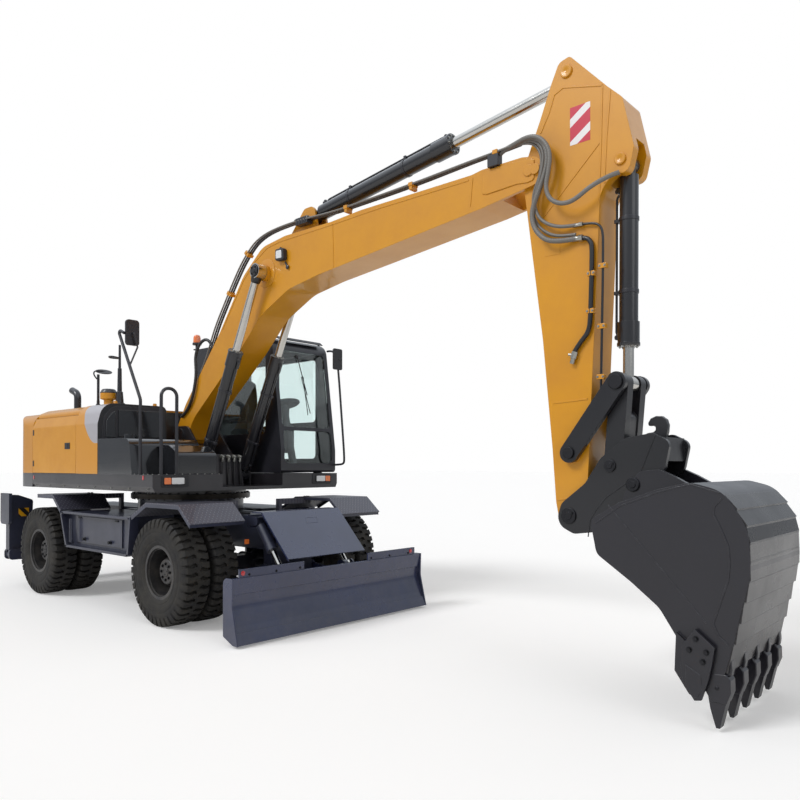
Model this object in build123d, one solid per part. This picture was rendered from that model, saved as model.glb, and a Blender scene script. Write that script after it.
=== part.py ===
from build123d import *
import math
import os

# Wheeled excavator, in millimetres.
# Machine frame: +X forward, +Y to the machine's left (the cab side), +Z up from the ground.
# X = 0 is the slewing axis while the pieces are drawn. On export the whole machine is
# moved so that its origin lies on the ground below the middle of its length and width.

# Overall arrangement
MACHINE_HALF_WIDTH = 1268
WHEELBASE = 2800
FRONT_AXLE_X = 1385
REAR_AXLE_X = FRONT_AXLE_X - WHEELBASE
WHEEL_RADIUS = 527
AXLE_Z = WHEEL_RADIUS
TYRE_WIDTH = 280
TWIN_GAP = 42
OVER_TYRES_WIDTH = 2 * MACHINE_HALF_WIDTH - 12
OUTER_TYRE_Y = (OVER_TYRES_WIDTH - TYRE_WIDTH) / 2
INNER_TYRE_Y = OUTER_TYRE_Y - TYRE_WIDTH - TWIN_GAP
TWIN_MIDDLE_Y = (OUTER_TYRE_Y + INNER_TYRE_Y) / 2

# General clearances
FIT = 0.3
RUNNING_GAP = 6
PIN_FIT = 0.5

# Rims and hubs
BEAD_RADIUS = 258
RIM_WALL = 22
RIM_HALF_WIDTH = 112
HUB_RADIUS = 150
HUB_CAP_RADIUS = 120
SPINDLE_RADIUS = 60
DISC_THICKNESS = 30
HUB_OUTER_Y = OUTER_TYRE_Y + 40
HUB_INNER_Y = TWIN_MIDDLE_Y - 57
SPINDLE_END_Y = TWIN_MIDDLE_Y + 60

# Steering
KINGPIN_Y = TWIN_MIDDLE_Y - 261
KINGPIN_RADIUS = 70
KINGPIN_BAR_RADIUS = 30
KNUCKLE_HALF_HEIGHT = 110
YOKE_THICKNESS = 40
AXLE_BEAM_HALF_HEIGHT = 90
AXLE_BEAM_HALF_DEPTH = 95
YOKE_GAP = 5
CRADLE_PIN_RISE = 123
CRADLE_PIN_RADIUS = 30

# Undercarriage frame
FRAME_TOP_Z = 1040
FRAME_BOTTOM_Z = 700
FRAME_NECK_HALF_WIDTH = 280
FRAME_MIDDLE_HALF_WIDTH = 520
FRAME_MIDDLE_HALF_LENGTH = 620
FRAME_FRONT_X = 1900
FRAME_REAR_X = -2200
TURRET_RADIUS = 620
TURRET_TOP_Z = 1185
RING_OUTER_RADIUS = 700
RING_HEIGHT = 55
RING_BORE_RADIUS = 520

# Toolboxes between the wheels
TOOLBOX_TOP_Z = 1040
TOOLBOX_BOTTOM_Z = 630
TOOLBOX_OUTER_Y = MACHINE_HALF_WIDTH - 18
TOOLBOX_PANEL_Y = TOOLBOX_OUTER_Y - 100
TOOLBOX_INNER_Y = 600
TOOLBOX_WALL = 20
TOOLBOX_FRAME_WALL = 26
TOOLBOX_BODY_HALF_LENGTH = 600
TOOLBOX_REAR_TOP_X = -800
TOOLBOX_REAR_BOTTOM_X = -650
TOOLBOX_FRONT_TOP_X = 850
TOOLBOX_FRONT_BOTTOM_X = 800
DOOR_PANEL_THICKNESS = 14
DOOR_GAP = 0.6
TOOLBOX_DOOR_HALF_LENGTH = 540
TOOLBOX_HINGE_Z = 990

# Fenders
FENDER_THICKNESS = 12
FENDER_TOP_Z = 1190
FENDER_INNER_Y = 650
FENDER_OUTER_Y = MACHINE_HALF_WIDTH - 6

# Dozer blade, hung on two push arms
BLADE_HALF_WIDTH = MACHINE_HALF_WIDTH - 10
BLADE_BOTTOM_X = 2687
BLADE_TOP_X = 2604
BLADE_BOTTOM_Z = 22
BLADE_TOP_Z = 592
BLADE_PIVOT_X = 1800
BLADE_PIVOT_Z = 480
BLADE_ARM_Y = 330
BLADE_ARM_THICKNESS = 50
BLADE_CYLINDER_Y = 430
BLADE_CYLINDER_TOP = (1900, 1010)
BLADE_CYLINDER_FOOT = (2280, 530)
BLADE_BARREL_LENGTH = 360
BLADE_ROD_START = 290
BLADE_LUG_RADIUS = 46
BLADE_BARREL_RADIUS = 52
BLADE_ROD_RADIUS = 28

# Guard plate over the blade linkage
GUARD_TOP = (2050, 1100)
GUARD_BOTTOM = (2460, 672)
GUARD_HALF_WIDTH = 515
GUARD_THICKNESS = 12

# Rear stabilisers, folded up beside the rear cross beam
STABILISER_X = -2415
STABILISER_PIN = (MACHINE_HALF_WIDTH - 88, 400)
STABILISER_ANCHOR = (STABILISER_PIN[0] - 167, 599)
STABILISER_BASE = (330, 700)
LEG_PLATE_GAP = 62
LEG_HALF_THICKNESS = 55
LUG_THICKNESS = 25
PAD_OUTER_Y = MACHINE_HALF_WIDTH
LEG_BARREL_RADIUS = 48
LEG_ROD_RADIUS = 24
LEG_BARREL_LENGTH = 612

# Swinging house
HOUSE_FRONT_X = 1268
HOUSE_REAR_X = -1600
HOUSE_HALF_WIDTH = MACHINE_HALF_WIDTH - 28
HOUSE_FLOOR_Z = 1304
HOUSE_FLOOR_THICKNESS = 36
DECK_Z = 1477
TAIL_RADIUS = 2400
TAIL_CORNER = 560
BAY_HALF_WIDTH = 385
BRACKET_INNER_Y = 186
BRACKET_THICKNESS = 26
BULKHEAD_X = 745
HOOP_X = 1205
HOOP_OUTER_Y = -HOUSE_HALF_WIDTH + 128
HOOP_INNER_Y = HOOP_OUTER_Y + 174
HOOP_TOP_Z = 2350
MIRROR_FOOT = (978, -HOUSE_HALF_WIDTH + 28)
MIRROR_PLATE = (700, -HOUSE_HALF_WIDTH + 77, 2956)
HOOD_TOP_Z = 2260
HOOD_SHOULDER = 170
SHEET = 20
HOOD_FRONT_X = 115
AIR_CLEANER = (-240, -HOUSE_HALF_WIDTH + 300)
EXHAUST = (-1250, -HOUSE_HALF_WIDTH + 400)
LID_THICKNESS = 24
ENGINE_WALL_X = -430
CAB_BACK_WALL_X = -602
ENGINE_BAY_REAR_X = HOUSE_REAR_X
CAB_REAR_X = -560
CAB_RIGHT_Y = 392
CAB_LEFT_Y = HOUSE_HALF_WIDTH + 5
CAB_BOTTOM_Z = DECK_Z + 10
CAB_TOP_Z = 3090
CAB_WALL = 45

# Working arm: pin places (X, Z) as it stands in the photograph
BOOM_FOOT = (80, 1920)
BOOM_TIP = (4972, 3820)
BOOM_HALF_WIDTH = 180
BOOM_WALL = 16
BOOM_CYLINDER_FOOT = (640, 1450)
BOOM_CYLINDER_EYE = (1690, 3600)
BOOM_CYLINDER_Y = 285
BOOM_BARREL_RADIUS = 68
BOOM_BARREL_LENGTH = 1509
BOOM_ROD_RADIUS = 42
ARM_CYLINDER_FOOT = (2260, 4120)
ARM_CYLINDER_EYE = (5214, 4494)
ARM_BARREL_RADIUS = 75
ARM_BARREL_LENGTH = 1800
ARM_ROD_RADIUS = 45
ARM_TIP = (5251, 1203)
ARM_HALF_WIDTH = 145
BUCKET_CYLINDER_FOOT = (5635, 3725)
BUCKET_CYLINDER_EYE = (5623, 2153)
BUCKET_BARREL_RADIUS = 66
BUCKET_BARREL_LENGTH = 1300
BUCKET_ROD_RADIUS = 38
ROCKER_PIN = (5257, 1662)
LINK_LOWER_PIN = (5573, 1568)
BUCKET_HALF_WIDTH = 545
TOOTH_TIP = (6408, 25)
TOOTH_COUNT = 5
TOOTH_SPACING = 250
TOOTH_HALF_WIDTH = 36
EYE_HALF_WIDTH = 50

# Machine's ends, for the common shift of the origin
MACHINE_FRONT_X = 6598.5
MACHINE_REAR_X = STABILISER_X - 145
MIDDLE_X = (MACHINE_FRONT_X + MACHINE_REAR_X) / 2


def length_between(first, second):
    return math.hypot(second[0] - first[0], second[1] - first[1])


def along(first, second, distance):
    """The point at a distance from the first point towards the second."""
    share = distance / length_between(first, second)
    return (first[0] + (second[0] - first[0]) * share, first[1] + (second[1] - first[1]) * share)


# Small shape tools
def outline(corners, place):
    """Closed wire through corners of (a, b, radius); place(a, b) gives the point in space."""
    count = len(corners)
    spots = [Vector(a, b, 0) for a, b, radius in corners]
    spans = []
    for index, (a, b, radius) in enumerate(corners):
        here = spots[index]
        back = (spots[index - 1] - here).normalized()
        ahead = (spots[(index + 1) % count] - here).normalized()
        if radius == 0:
            spans.append((here, None, here))
            continue
        half = math.acos(max(-1, min(1, back.dot(ahead)))) / 2
        setback = radius / math.tan(half)
        middle = here + (back + ahead).normalized() * (radius / math.sin(half) - radius)
        spans.append((here + back * setback, middle, here + ahead * setback))
    edges = []
    for index, (start, middle, stop) in enumerate(spans):
        previous = spans[index - 1][2]
        if (start - previous).length > 1e-4:
            edges.append(Edge.make_line(place(previous.X, previous.Y), place(start.X, start.Y)))
        if middle is not None:
            points = [place(spot.X, spot.Y) for spot in (start, middle, stop)]
            edges.append(Edge.make_three_point_arc(*points))
    return Wire(edges)


def prism(corners, axis, low, high):
    """Solid with a rounded outline, pushed along X, Y or Z from low to high."""
    places = {
        "x": lambda a, b: Vector(low, a, b),
        "y": lambda a, b: Vector(a, low, b),
        "z": lambda a, b: Vector(a, b, low),
    }
    ways = {"x": Vector(1, 0, 0), "y": Vector(0, 1, 0), "z": Vector(0, 0, 1)}
    face = Face(outline(corners, places[axis]))
    return Solid.extrude(face, ways[axis] * (high - low))


def rounded(a, b, radius, inset=0):
    """Corners of a rounded rectangle between (low, high) pairs, drawn in by an inset."""
    corners = [(a[0] + inset, b[0] + inset), (a[1] - inset, b[0] + inset)]
    corners += [(a[1] - inset, b[1] - inset), (a[0] + inset, b[1] - inset)]
    return [(x, y, radius - inset) for x, y in corners]


def block(x, y, z):
    """Box between (low, high) pairs."""
    return Solid.make_box(x[1] - x[0], y[1] - y[0], z[1] - z[0], Plane(origin=(x[0], y[0], z[0])))


def rod(start, end, radius):
    start = Vector(*start)
    end = Vector(*end)
    return Solid.make_cylinder(radius, (end - start).length, Plane(origin=start, z_dir=end - start))


def cross_pin(place, low, high, radius):
    """Round bar across the machine at (X, Z), from Y low to Y high."""
    return rod((place[0], low, place[1]), (place[0], high, place[1]), radius)


def tube(points, radius, bend):
    """Round bar along a path with bends of one radius."""
    path = FilletPolyline(*points, radius=bend) if len(points) > 2 else Line(*points)
    section = Plane(origin=path @ 0, z_dir=path % 0) * Circle(radius)
    return sweep(section, path=path).solids()[0]


def turned(profile, origin, axis):
    """Solid of revolution about Y; the profile holds (Y, radius, corner radius)."""
    face = Face(outline(profile, lambda a, b: Vector(origin[0], a, origin[2] + b)))
    return Solid.revolve(face, 360, Axis(origin, axis))


def fuse(*shapes):
    body = shapes[0]
    for shape in shapes[1:]:
        body = body + shape
    return body.solids()


def cut(body, *tools):
    for tool in tools:
        body = body - tool
    return body.solids()


def join(groups):
    """One flat list out of solids and lists of solids."""
    flat = []
    for group in groups:
        flat.extend(join(group) if isinstance(group, (list, tuple)) else group.solids())
    return flat


def other_side(shapes):
    return [solid.mirror(Plane.XZ) for solid in join([shapes])]


def both_sides(shapes):
    return join([shapes]) + other_side(shapes)


def save(name, *shapes):
    solids = join(shapes)
    shape = Compound(solids).moved(Location((-MIDDLE_X, 0, 0)))
    export_step(shape, f"parts/{name}.step")
    print(name, len(solids))


# Wheels
def tyre_profile(middle):
    half = TYRE_WIDTH / 2
    rows = [
        (-half + 45, BEAD_RADIUS),
        (-half, BEAD_RADIUS + 95),
        (-half, WHEEL_RADIUS - 110),
        (-half + 16, WHEEL_RADIUS - 30),
        (-half + 40, WHEEL_RADIUS),
        (half - 40, WHEEL_RADIUS),
        (half - 16, WHEEL_RADIUS - 30),
        (half, WHEEL_RADIUS - 110),
        (half, BEAD_RADIUS + 95),
        (half - 45, BEAD_RADIUS),
    ]
    return [(middle + w, r, 0) for w, r in rows]


def tyre_pair(axle_x, side):
    centre = (axle_x, 0, AXLE_Z)
    return [turned(tyre_profile(side * y), centre, (0, 1, 0)) for y in (OUTER_TYRE_Y, INNER_TYRE_Y)]


def rim_band(middle, axle_x):
    seat = BEAD_RADIUS - FIT
    rows = [
        (-RIM_HALF_WIDTH, seat - RIM_WALL, 0),
        (-RIM_HALF_WIDTH, seat + 8, 0),
        (-RIM_HALF_WIDTH + 8, seat + 8, 0),
        (-RIM_HALF_WIDTH + 10, seat, 0),
        (RIM_HALF_WIDTH - 10, seat, 0),
        (RIM_HALF_WIDTH - 8, seat + 8, 0),
        (RIM_HALF_WIDTH, seat + 8, 0),
        (RIM_HALF_WIDTH, seat - RIM_WALL, 0),
    ]
    profile = [(middle + w, r, radius) for w, r, radius in rows]
    return turned(profile, (axle_x, 0, AXLE_Z), (0, 1, 0))


def ring_about_axle(axle_x, low, high, inner, outer):
    profile = [(low, inner, 0), (low, outer, 0), (high, outer, 0), (high, inner, 0)]
    return turned(profile, (axle_x, 0, AXLE_Z), (0, 1, 0))


def rim_pair(axle_x, side):
    """Both rims, their centre discs and the hub drum as one turned piece."""
    band_inside = BEAD_RADIUS - FIT - RIM_WALL
    inner_band_end = INNER_TYRE_Y + RIM_HALF_WIDTH - 4
    outer_band_end = OUTER_TYRE_Y - RIM_HALF_WIDTH + 4
    disc_low = TWIN_MIDDLE_Y - DISC_THICKNESS / 2
    disc_high = TWIN_MIDDLE_Y + DISC_THICKNESS / 2
    sleeve = ring_about_axle(axle_x, inner_band_end, outer_band_end, band_inside - 4, band_inside + 12)
    disc = ring_about_axle(axle_x, disc_low, disc_high, HUB_CAP_RADIUS, band_inside)
    drum = ring_about_axle(axle_x, HUB_INNER_Y, HUB_OUTER_Y - 60, SPINDLE_RADIUS + PIN_FIT, HUB_RADIUS)
    cap_rows = [
        (SPINDLE_END_Y + 8, 0, 0),
        (HUB_OUTER_Y, 0, 0),
        (HUB_OUTER_Y, HUB_CAP_RADIUS, 18),
        (HUB_OUTER_Y - 60, HUB_RADIUS, 0),
        (SPINDLE_END_Y + 8, HUB_RADIUS, 0),
    ]
    cap = turned(cap_rows, (axle_x, 0, AXLE_Z), (0, 1, 0))
    bands = [rim_band(y, axle_x) for y in (OUTER_TYRE_Y, INNER_TYRE_Y)]
    wheel = fuse(bands[0], sleeve, bands[1], disc, drum, cap)
    return wheel if side > 0 else other_side(wheel)


# Axles and steering knuckles
def front_axle():
    beam_end = KINGPIN_Y - KINGPIN_RADIUS - 12
    yoke_z = KNUCKLE_HALF_HEIGHT + YOKE_GAP
    beam = prism(
        [
            (-beam_end, AXLE_Z - AXLE_BEAM_HALF_HEIGHT, 0),
            (beam_end, AXLE_Z - AXLE_BEAM_HALF_HEIGHT, 0),
            (beam_end, AXLE_Z + AXLE_BEAM_HALF_HEIGHT, 0),
            (-beam_end, AXLE_Z + AXLE_BEAM_HALF_HEIGHT, 0),
        ],
        "x",
        FRONT_AXLE_X - 75,
        FRONT_AXLE_X + 75,
    )
    differential = Solid.make_sphere(160, Plane(origin=(FRONT_AXLE_X, 0, AXLE_Z)), -90, 90, 360)
    pieces = [beam, differential]
    for side in (1, -1):
        ys = sorted((side * (beam_end - 55), side * beam_end))
        reach = sorted((side * (beam_end - 55), side * (KINGPIN_Y + 55)))
        web = (AXLE_Z - yoke_z - YOKE_THICKNESS, AXLE_Z + yoke_z + YOKE_THICKNESS)
        pieces.append(block((FRONT_AXLE_X - 60, FRONT_AXLE_X + 60), ys, web))
        for low in (AXLE_Z + yoke_z, AXLE_Z - yoke_z - YOKE_THICKNESS):
            lug = block((FRONT_AXLE_X - 70, FRONT_AXLE_X + 70), reach, (low, low + YOKE_THICKNESS))
            pieces.append(lug)
        pin_end = yoke_z + YOKE_THICKNESS + 12
        kingpin = rod(
            (FRONT_AXLE_X, side * KINGPIN_Y, AXLE_Z - pin_end),
            (FRONT_AXLE_X, side * KINGPIN_Y, AXLE_Z + pin_end),
            KINGPIN_BAR_RADIUS,
        )
        pieces.append(kingpin)
    nose = rod((FRONT_AXLE_X - 300, 0, AXLE_Z), (FRONT_AXLE_X, 0, AXLE_Z), 78)
    cradle_pin = rod(
        (FRONT_AXLE_X - 185, 0, AXLE_Z + CRADLE_PIN_RISE),
        (FRONT_AXLE_X + 185, 0, AXLE_Z + CRADLE_PIN_RISE),
        CRADLE_PIN_RADIUS,
    )
    steering_cylinder = rod((FRONT_AXLE_X + 160, -240, AXLE_Z), (FRONT_AXLE_X + 160, 240, AXLE_Z), 48)
    bracket = block((FRONT_AXLE_X + 60, FRONT_AXLE_X + 170), (-60, 60), (AXLE_Z - 30, AXLE_Z + 30))
    return fuse(*pieces, nose, cradle_pin, bracket, steering_cylinder)


def steering_knuckle(side):
    barrel = rod(
        (FRONT_AXLE_X, KINGPIN_Y, AXLE_Z - KNUCKLE_HALF_HEIGHT),
        (FRONT_AXLE_X, KINGPIN_Y, AXLE_Z + KNUCKLE_HALF_HEIGHT),
        KINGPIN_RADIUS,
    )
    housing = rod((FRONT_AXLE_X, KINGPIN_Y, AXLE_Z), (FRONT_AXLE_X, HUB_INNER_Y - 8, AXLE_Z), 105)
    spindle = rod(
        (FRONT_AXLE_X, KINGPIN_Y, AXLE_Z), (FRONT_AXLE_X, SPINDLE_END_Y, AXLE_Z), SPINDLE_RADIUS,
    )
    room = block(
        (FRONT_AXLE_X - 120, FRONT_AXLE_X + 120),
        (KINGPIN_Y - 120, KINGPIN_Y + 8),
        (AXLE_Z - 200, AXLE_Z + 200),
    )
    housing = cut(housing, room)[0]
    steering_arm = prism(
        [
            (FRONT_AXLE_X, KINGPIN_Y - 30, 0),
            (FRONT_AXLE_X + 190, KINGPIN_Y - 25, 20),
            (FRONT_AXLE_X + 190, KINGPIN_Y + 25, 20),
            (FRONT_AXLE_X, KINGPIN_Y + 40, 0),
        ],
        "z",
        AXLE_Z - 25,
        AXLE_Z + 25,
    )
    pin_hole = rod(
        (FRONT_AXLE_X, KINGPIN_Y, AXLE_Z - 200),
        (FRONT_AXLE_X, KINGPIN_Y, AXLE_Z + 200),
        KINGPIN_BAR_RADIUS + FIT,
    )
    knuckle = cut(fuse(barrel, housing, spindle, steering_arm)[0], pin_hole)
    return knuckle if side > 0 else other_side(knuckle)


def rear_axle():
    housing_end = HUB_INNER_Y - 8
    differential = Solid.make_sphere(168, Plane(origin=(REAR_AXLE_X, 0, AXLE_Z)), -90, 90, 360)
    beam = block((REAR_AXLE_X - 80, REAR_AXLE_X + 80), (-640, 640), (AXLE_Z - 90, AXLE_Z + 90))
    pieces = [beam, differential]
    for side in (1, -1):
        pieces.append(
            rod((REAR_AXLE_X, side * 600, AXLE_Z), (REAR_AXLE_X, side * housing_end, AXLE_Z), 125),
        )
        spindle = rod(
            (REAR_AXLE_X, side * 600, AXLE_Z), (REAR_AXLE_X, side * SPINDLE_END_Y, AXLE_Z), SPINDLE_RADIUS
        )
        pieces.append(spindle)
        saddle = sorted((side * 170, side * 270))
        pieces.append(block((REAR_AXLE_X - 80, REAR_AXLE_X + 80), saddle, (AXLE_Z + 60, FRAME_BOTTOM_Z)))
    nose = rod((REAR_AXLE_X, 0, AXLE_Z), (REAR_AXLE_X + 300, 0, AXLE_Z), 90)
    return fuse(*pieces, nose)


def driveline():
    """Transfer gearbox below the frame and the two propeller shafts."""
    gearbox = prism(
        [
            (-260, 420, 60), (180, 420, 60), (180, FRAME_BOTTOM_Z, 0), (-260, FRAME_BOTTOM_Z, 0),
        ], "y", -150, 150
    )
    front_shaft = rod((180, 0, AXLE_Z), (FRONT_AXLE_X - 300 - FIT, 0, AXLE_Z), 45)
    rear_shaft = rod((-260, 0, AXLE_Z), (REAR_AXLE_X + 300 + FIT, 0, AXLE_Z), 45)
    couplings = [
        rod((180, 0, AXLE_Z), (240, 0, AXLE_Z), 75),
        rod((FRONT_AXLE_X - 360, 0, AXLE_Z), (FRONT_AXLE_X - 300 - FIT, 0, AXLE_Z), 75),
        rod((-320, 0, AXLE_Z), (-260, 0, AXLE_Z), 75),
        rod((REAR_AXLE_X + 300 + FIT, 0, AXLE_Z), (REAR_AXLE_X + 360, 0, AXLE_Z), 75),
    ]
    return fuse(gearbox, front_shaft, rear_shaft, *couplings)


# Undercarriage frame
def undercarriage_frame():
    middle = block(
        (-FRAME_MIDDLE_HALF_LENGTH, FRAME_MIDDLE_HALF_LENGTH),
        (-FRAME_MIDDLE_HALF_WIDTH, FRAME_MIDDLE_HALF_WIDTH),
        (FRAME_BOTTOM_Z, FRAME_TOP_Z),
    )
    neck = block(
        (FRAME_REAR_X, FRAME_FRONT_X),
        (-FRAME_NECK_HALF_WIDTH, FRAME_NECK_HALF_WIDTH),
        (FRAME_BOTTOM_Z, FRAME_TOP_Z),
    )
    turret = rod((0, 0, FRAME_TOP_Z), (0, 0, TURRET_TOP_Z), TURRET_RADIUS)
    turret_hole = rod((0, 0, FRAME_TOP_Z + 20), (0, 0, TURRET_TOP_Z), RING_BORE_RADIUS)
    front_plate = block(
        (FRAME_FRONT_X - 130, FRAME_FRONT_X), (-270, 270), (BLADE_PIVOT_Z - 80, FRAME_BOTTOM_Z),
    )
    pieces = [middle, neck, turret, front_plate]
    for x in (FRONT_AXLE_X - 180, FRONT_AXLE_X + 150):
        pieces.append(block((x, x + 30), (-90, 90), (AXLE_Z + CRADLE_PIN_RISE - 38, FRAME_BOTTOM_Z + 1)))
    frame = fuse(*pieces)[0]
    holes = [turret_hole]
    cradle_z = AXLE_Z + CRADLE_PIN_RISE
    holes.append(
        rod(
            (FRONT_AXLE_X - 190, 0, cradle_z), (FRONT_AXLE_X + 190, 0, cradle_z),
            CRADLE_PIN_RADIUS + PIN_FIT,
        ),
    )
    frame = cut(frame, *holes)
    side_beams = []
    for side in (1, -1):
        for x in (-420, 360):
            ys = sorted((side * FRAME_MIDDLE_HALF_WIDTH, side * (TOOLBOX_INNER_Y - FIT)))
            side_beams.append(block((x, x + 60), ys, (FRAME_BOTTOM_Z + 40, FRAME_TOP_Z - 40)))
        lugs = blade_pivot_lugs(side) + blade_cylinder_lugs(side)
        side_beams.extend(lugs)
    cross = stabiliser_beam()
    return fuse(frame[0], *side_beams, *cross)


def blade_pivot_lugs(side):
    """Two lugs with a pin for one push arm of the blade."""
    arm_low = BLADE_ARM_Y - BLADE_ARM_THICKNESS / 2
    arm_high = BLADE_ARM_Y + BLADE_ARM_THICKNESS / 2
    place = (BLADE_PIVOT_X, BLADE_PIVOT_Z)
    pieces = []
    low, high = sorted((side * 250, side * (arm_low - RUNNING_GAP)))
    pieces.append(cross_pin(place, low, high, 75))
    low, high = sorted((side * 250, side * (arm_high + 12)))
    pieces.append(cross_pin(place, low, high, 38))
    low, high = sorted((side * (arm_high + 2), side * (arm_high + 14)))
    pieces.append(cross_pin(place, low, high, 60))
    return pieces


def blade_cylinder_lugs(side):
    """Bracket on the frame's front end that holds the top of a blade cylinder."""
    x, z = BLADE_CYLINDER_TOP
    pieces = []
    for low, high in (
        (FRAME_NECK_HALF_WIDTH - 10, BLADE_CYLINDER_Y - 35),
        (BLADE_CYLINDER_Y + 35, BLADE_CYLINDER_Y + 55),
    ):
        low, high = sorted((side * low, side * high))
        reach = BLADE_LUG_RADIUS
        lug = [
            (x - 90, z - reach, 30), (x + reach, z - reach, reach - 1),
            (x + reach, z + reach, reach - 1), (x - 90, z + reach, 30),
        ]
        pieces.append(prism(lug, "y", low, high))
    low, high = sorted((side * FRAME_NECK_HALF_WIDTH, side * (BLADE_CYLINDER_Y + 55)))
    pieces.append(block((x - 110, x - 80), (low, high), (z - 70, z + 60)))
    pieces.append(
        cross_pin((x, z), *sorted((side * (BLADE_CYLINDER_Y - 40), side * (BLADE_CYLINDER_Y + 40))), 22),
    )
    pieces.append(block((x - 130, x - 80), (low, high), (z - 70, FRAME_TOP_Z)))
    return pieces


def stabiliser_beam():
    """Rear cross beam with a pin at each end for a folding leg."""
    pin_y, pin_z = STABILISER_PIN
    half = LEG_HALF_THICKNESS
    inner = STABILISER_X + half + RUNNING_GAP
    pieces = []
    centre = block((STABILISER_X - 85, FRAME_REAR_X + 10), (-260, 260), (330, FRAME_TOP_Z))
    pieces.append(centre)
    for side in (1, -1):
        beam = prism(
            [
                (side * 250, 330, 0),
                (side * (pin_y - 172), 330, 0),
                (side * (pin_y - 172), 470, 0),
                (side * 250, 520, 0),
            ],
            "x",
            STABILISER_X - 85,
            STABILISER_X + 85,
        )
        pieces.append(beam)
        for near, far in (
            (half + RUNNING_GAP, half + RUNNING_GAP + LUG_THICKNESS),
            (-half - RUNNING_GAP - LUG_THICKNESS, -half - RUNNING_GAP),
        ):
            lug = prism(
                [
                    (side * (pin_y - 240), 330, 0),
                    (side * (pin_y + 60), 330, 45),
                    (side * (pin_y + 60), 470, 45),
                    (side * (pin_y - 240), 470, 0),
                ],
                "x",
                STABILISER_X + near,
                STABILISER_X + far,
            )
            pieces.append(lug)
        reach = half + RUNNING_GAP + LUG_THICKNESS
        pieces.append(
            rod(
                (STABILISER_X - reach, side * pin_y, pin_z),
                (STABILISER_X + reach, side * pin_y, pin_z), 32,
            ),
        )
        base_y, base_z = STABILISER_BASE
        for near, far in ((31, 50), (-50, -31)):
            low, high = sorted((side * 250, side * (base_y + 45)))
            pieces.append(
                block((STABILISER_X + near, STABILISER_X + far), (low, high), (base_z - 45, base_z + 45)),
            )
        pieces.append(
            rod(
                (STABILISER_X - 50, side * base_y, base_z),
                (STABILISER_X + 50, side * base_y, base_z), 20,
            ),
        )
    return pieces


def slewing_ring():
    """Outer race bolted on the undercarriage."""
    race = rod((0, 0, TURRET_TOP_Z), (0, 0, TURRET_TOP_Z + RING_HEIGHT), RING_OUTER_RADIUS)
    bore = rod((0, 0, TURRET_TOP_Z - 1), (0, 0, TURRET_TOP_Z + RING_HEIGHT + 1), RING_BORE_RADIUS)
    return cut(race, bore)


def toolbox(side):
    """Box between the wheels with a recessed face inside a sloping frame."""
    face_corners = [
        (TOOLBOX_REAR_TOP_X, TOOLBOX_TOP_Z, 30),
        (TOOLBOX_REAR_BOTTOM_X, TOOLBOX_BOTTOM_Z, 40),
        (TOOLBOX_FRONT_BOTTOM_X, TOOLBOX_BOTTOM_Z, 40),
        (TOOLBOX_FRONT_TOP_X, TOOLBOX_TOP_Z, 0),
    ]
    wall = TOOLBOX_FRAME_WALL
    inside = [
        (TOOLBOX_REAR_TOP_X + wall * 1.4, TOOLBOX_TOP_Z - wall, 20),
        (TOOLBOX_REAR_BOTTOM_X + wall, TOOLBOX_BOTTOM_Z + wall, 20),
        (TOOLBOX_FRONT_BOTTOM_X - wall, TOOLBOX_BOTTOM_Z + wall, 20),
        (TOOLBOX_FRONT_TOP_X - wall, TOOLBOX_TOP_Z - wall, 20),
    ]
    surround = prism(face_corners, "y", TOOLBOX_PANEL_Y, TOOLBOX_OUTER_Y)
    recess = prism(inside, "y", TOOLBOX_PANEL_Y + 12, TOOLBOX_OUTER_Y + 1)
    half = TOOLBOX_BODY_HALF_LENGTH
    body = block(
        (-half, half), (TOOLBOX_INNER_Y, TOOLBOX_PANEL_Y + 1), (TOOLBOX_BOTTOM_Z + 30, TOOLBOX_TOP_Z),
    )
    door_half = TOOLBOX_DOOR_HALF_LENGTH - 20
    store = block(
        (-door_half, door_half),
        (TOOLBOX_INNER_Y + TOOLBOX_WALL, TOOLBOX_PANEL_Y + 13),
        (TOOLBOX_BOTTOM_Z + 90, TOOLBOX_HINGE_Z - 25),
    )
    box = cut(fuse(surround, body)[0], recess, store)
    return box if side > 0 else other_side(box)


def toolbox_door(side):
    low = TOOLBOX_PANEL_Y + 12 + DOOR_GAP
    door = block(
        (-TOOLBOX_DOOR_HALF_LENGTH, TOOLBOX_DOOR_HALF_LENGTH),
        (low, low + DOOR_PANEL_THICKNESS),
        (TOOLBOX_BOTTOM_Z + 65, TOOLBOX_HINGE_Z),
    )
    knobs = [rod((x, low + 5, 740), (x, low + 26, 740), 16) for x in (-300, 300)]
    lid = fuse(door, *knobs)
    return lid if side > 0 else other_side(lid)


def sheet_strip(points, thickness, low, high):
    """Bent plate: a band of one thickness above a line of (X, Z) points, pushed along Y."""
    top = []
    for index, (x, z) in enumerate(points):
        before = points[max(index - 1, 0)]
        after = points[min(index + 1, len(points) - 1)]
        way = Vector(after[0] - before[0], after[1] - before[1]).normalized()
        top.append((x - way.Y * thickness, z + way.X * thickness, 0))
    corners = [(x, z, 0) for x, z in points] + top[::-1]
    return prism(corners, "y", low, high)


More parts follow.
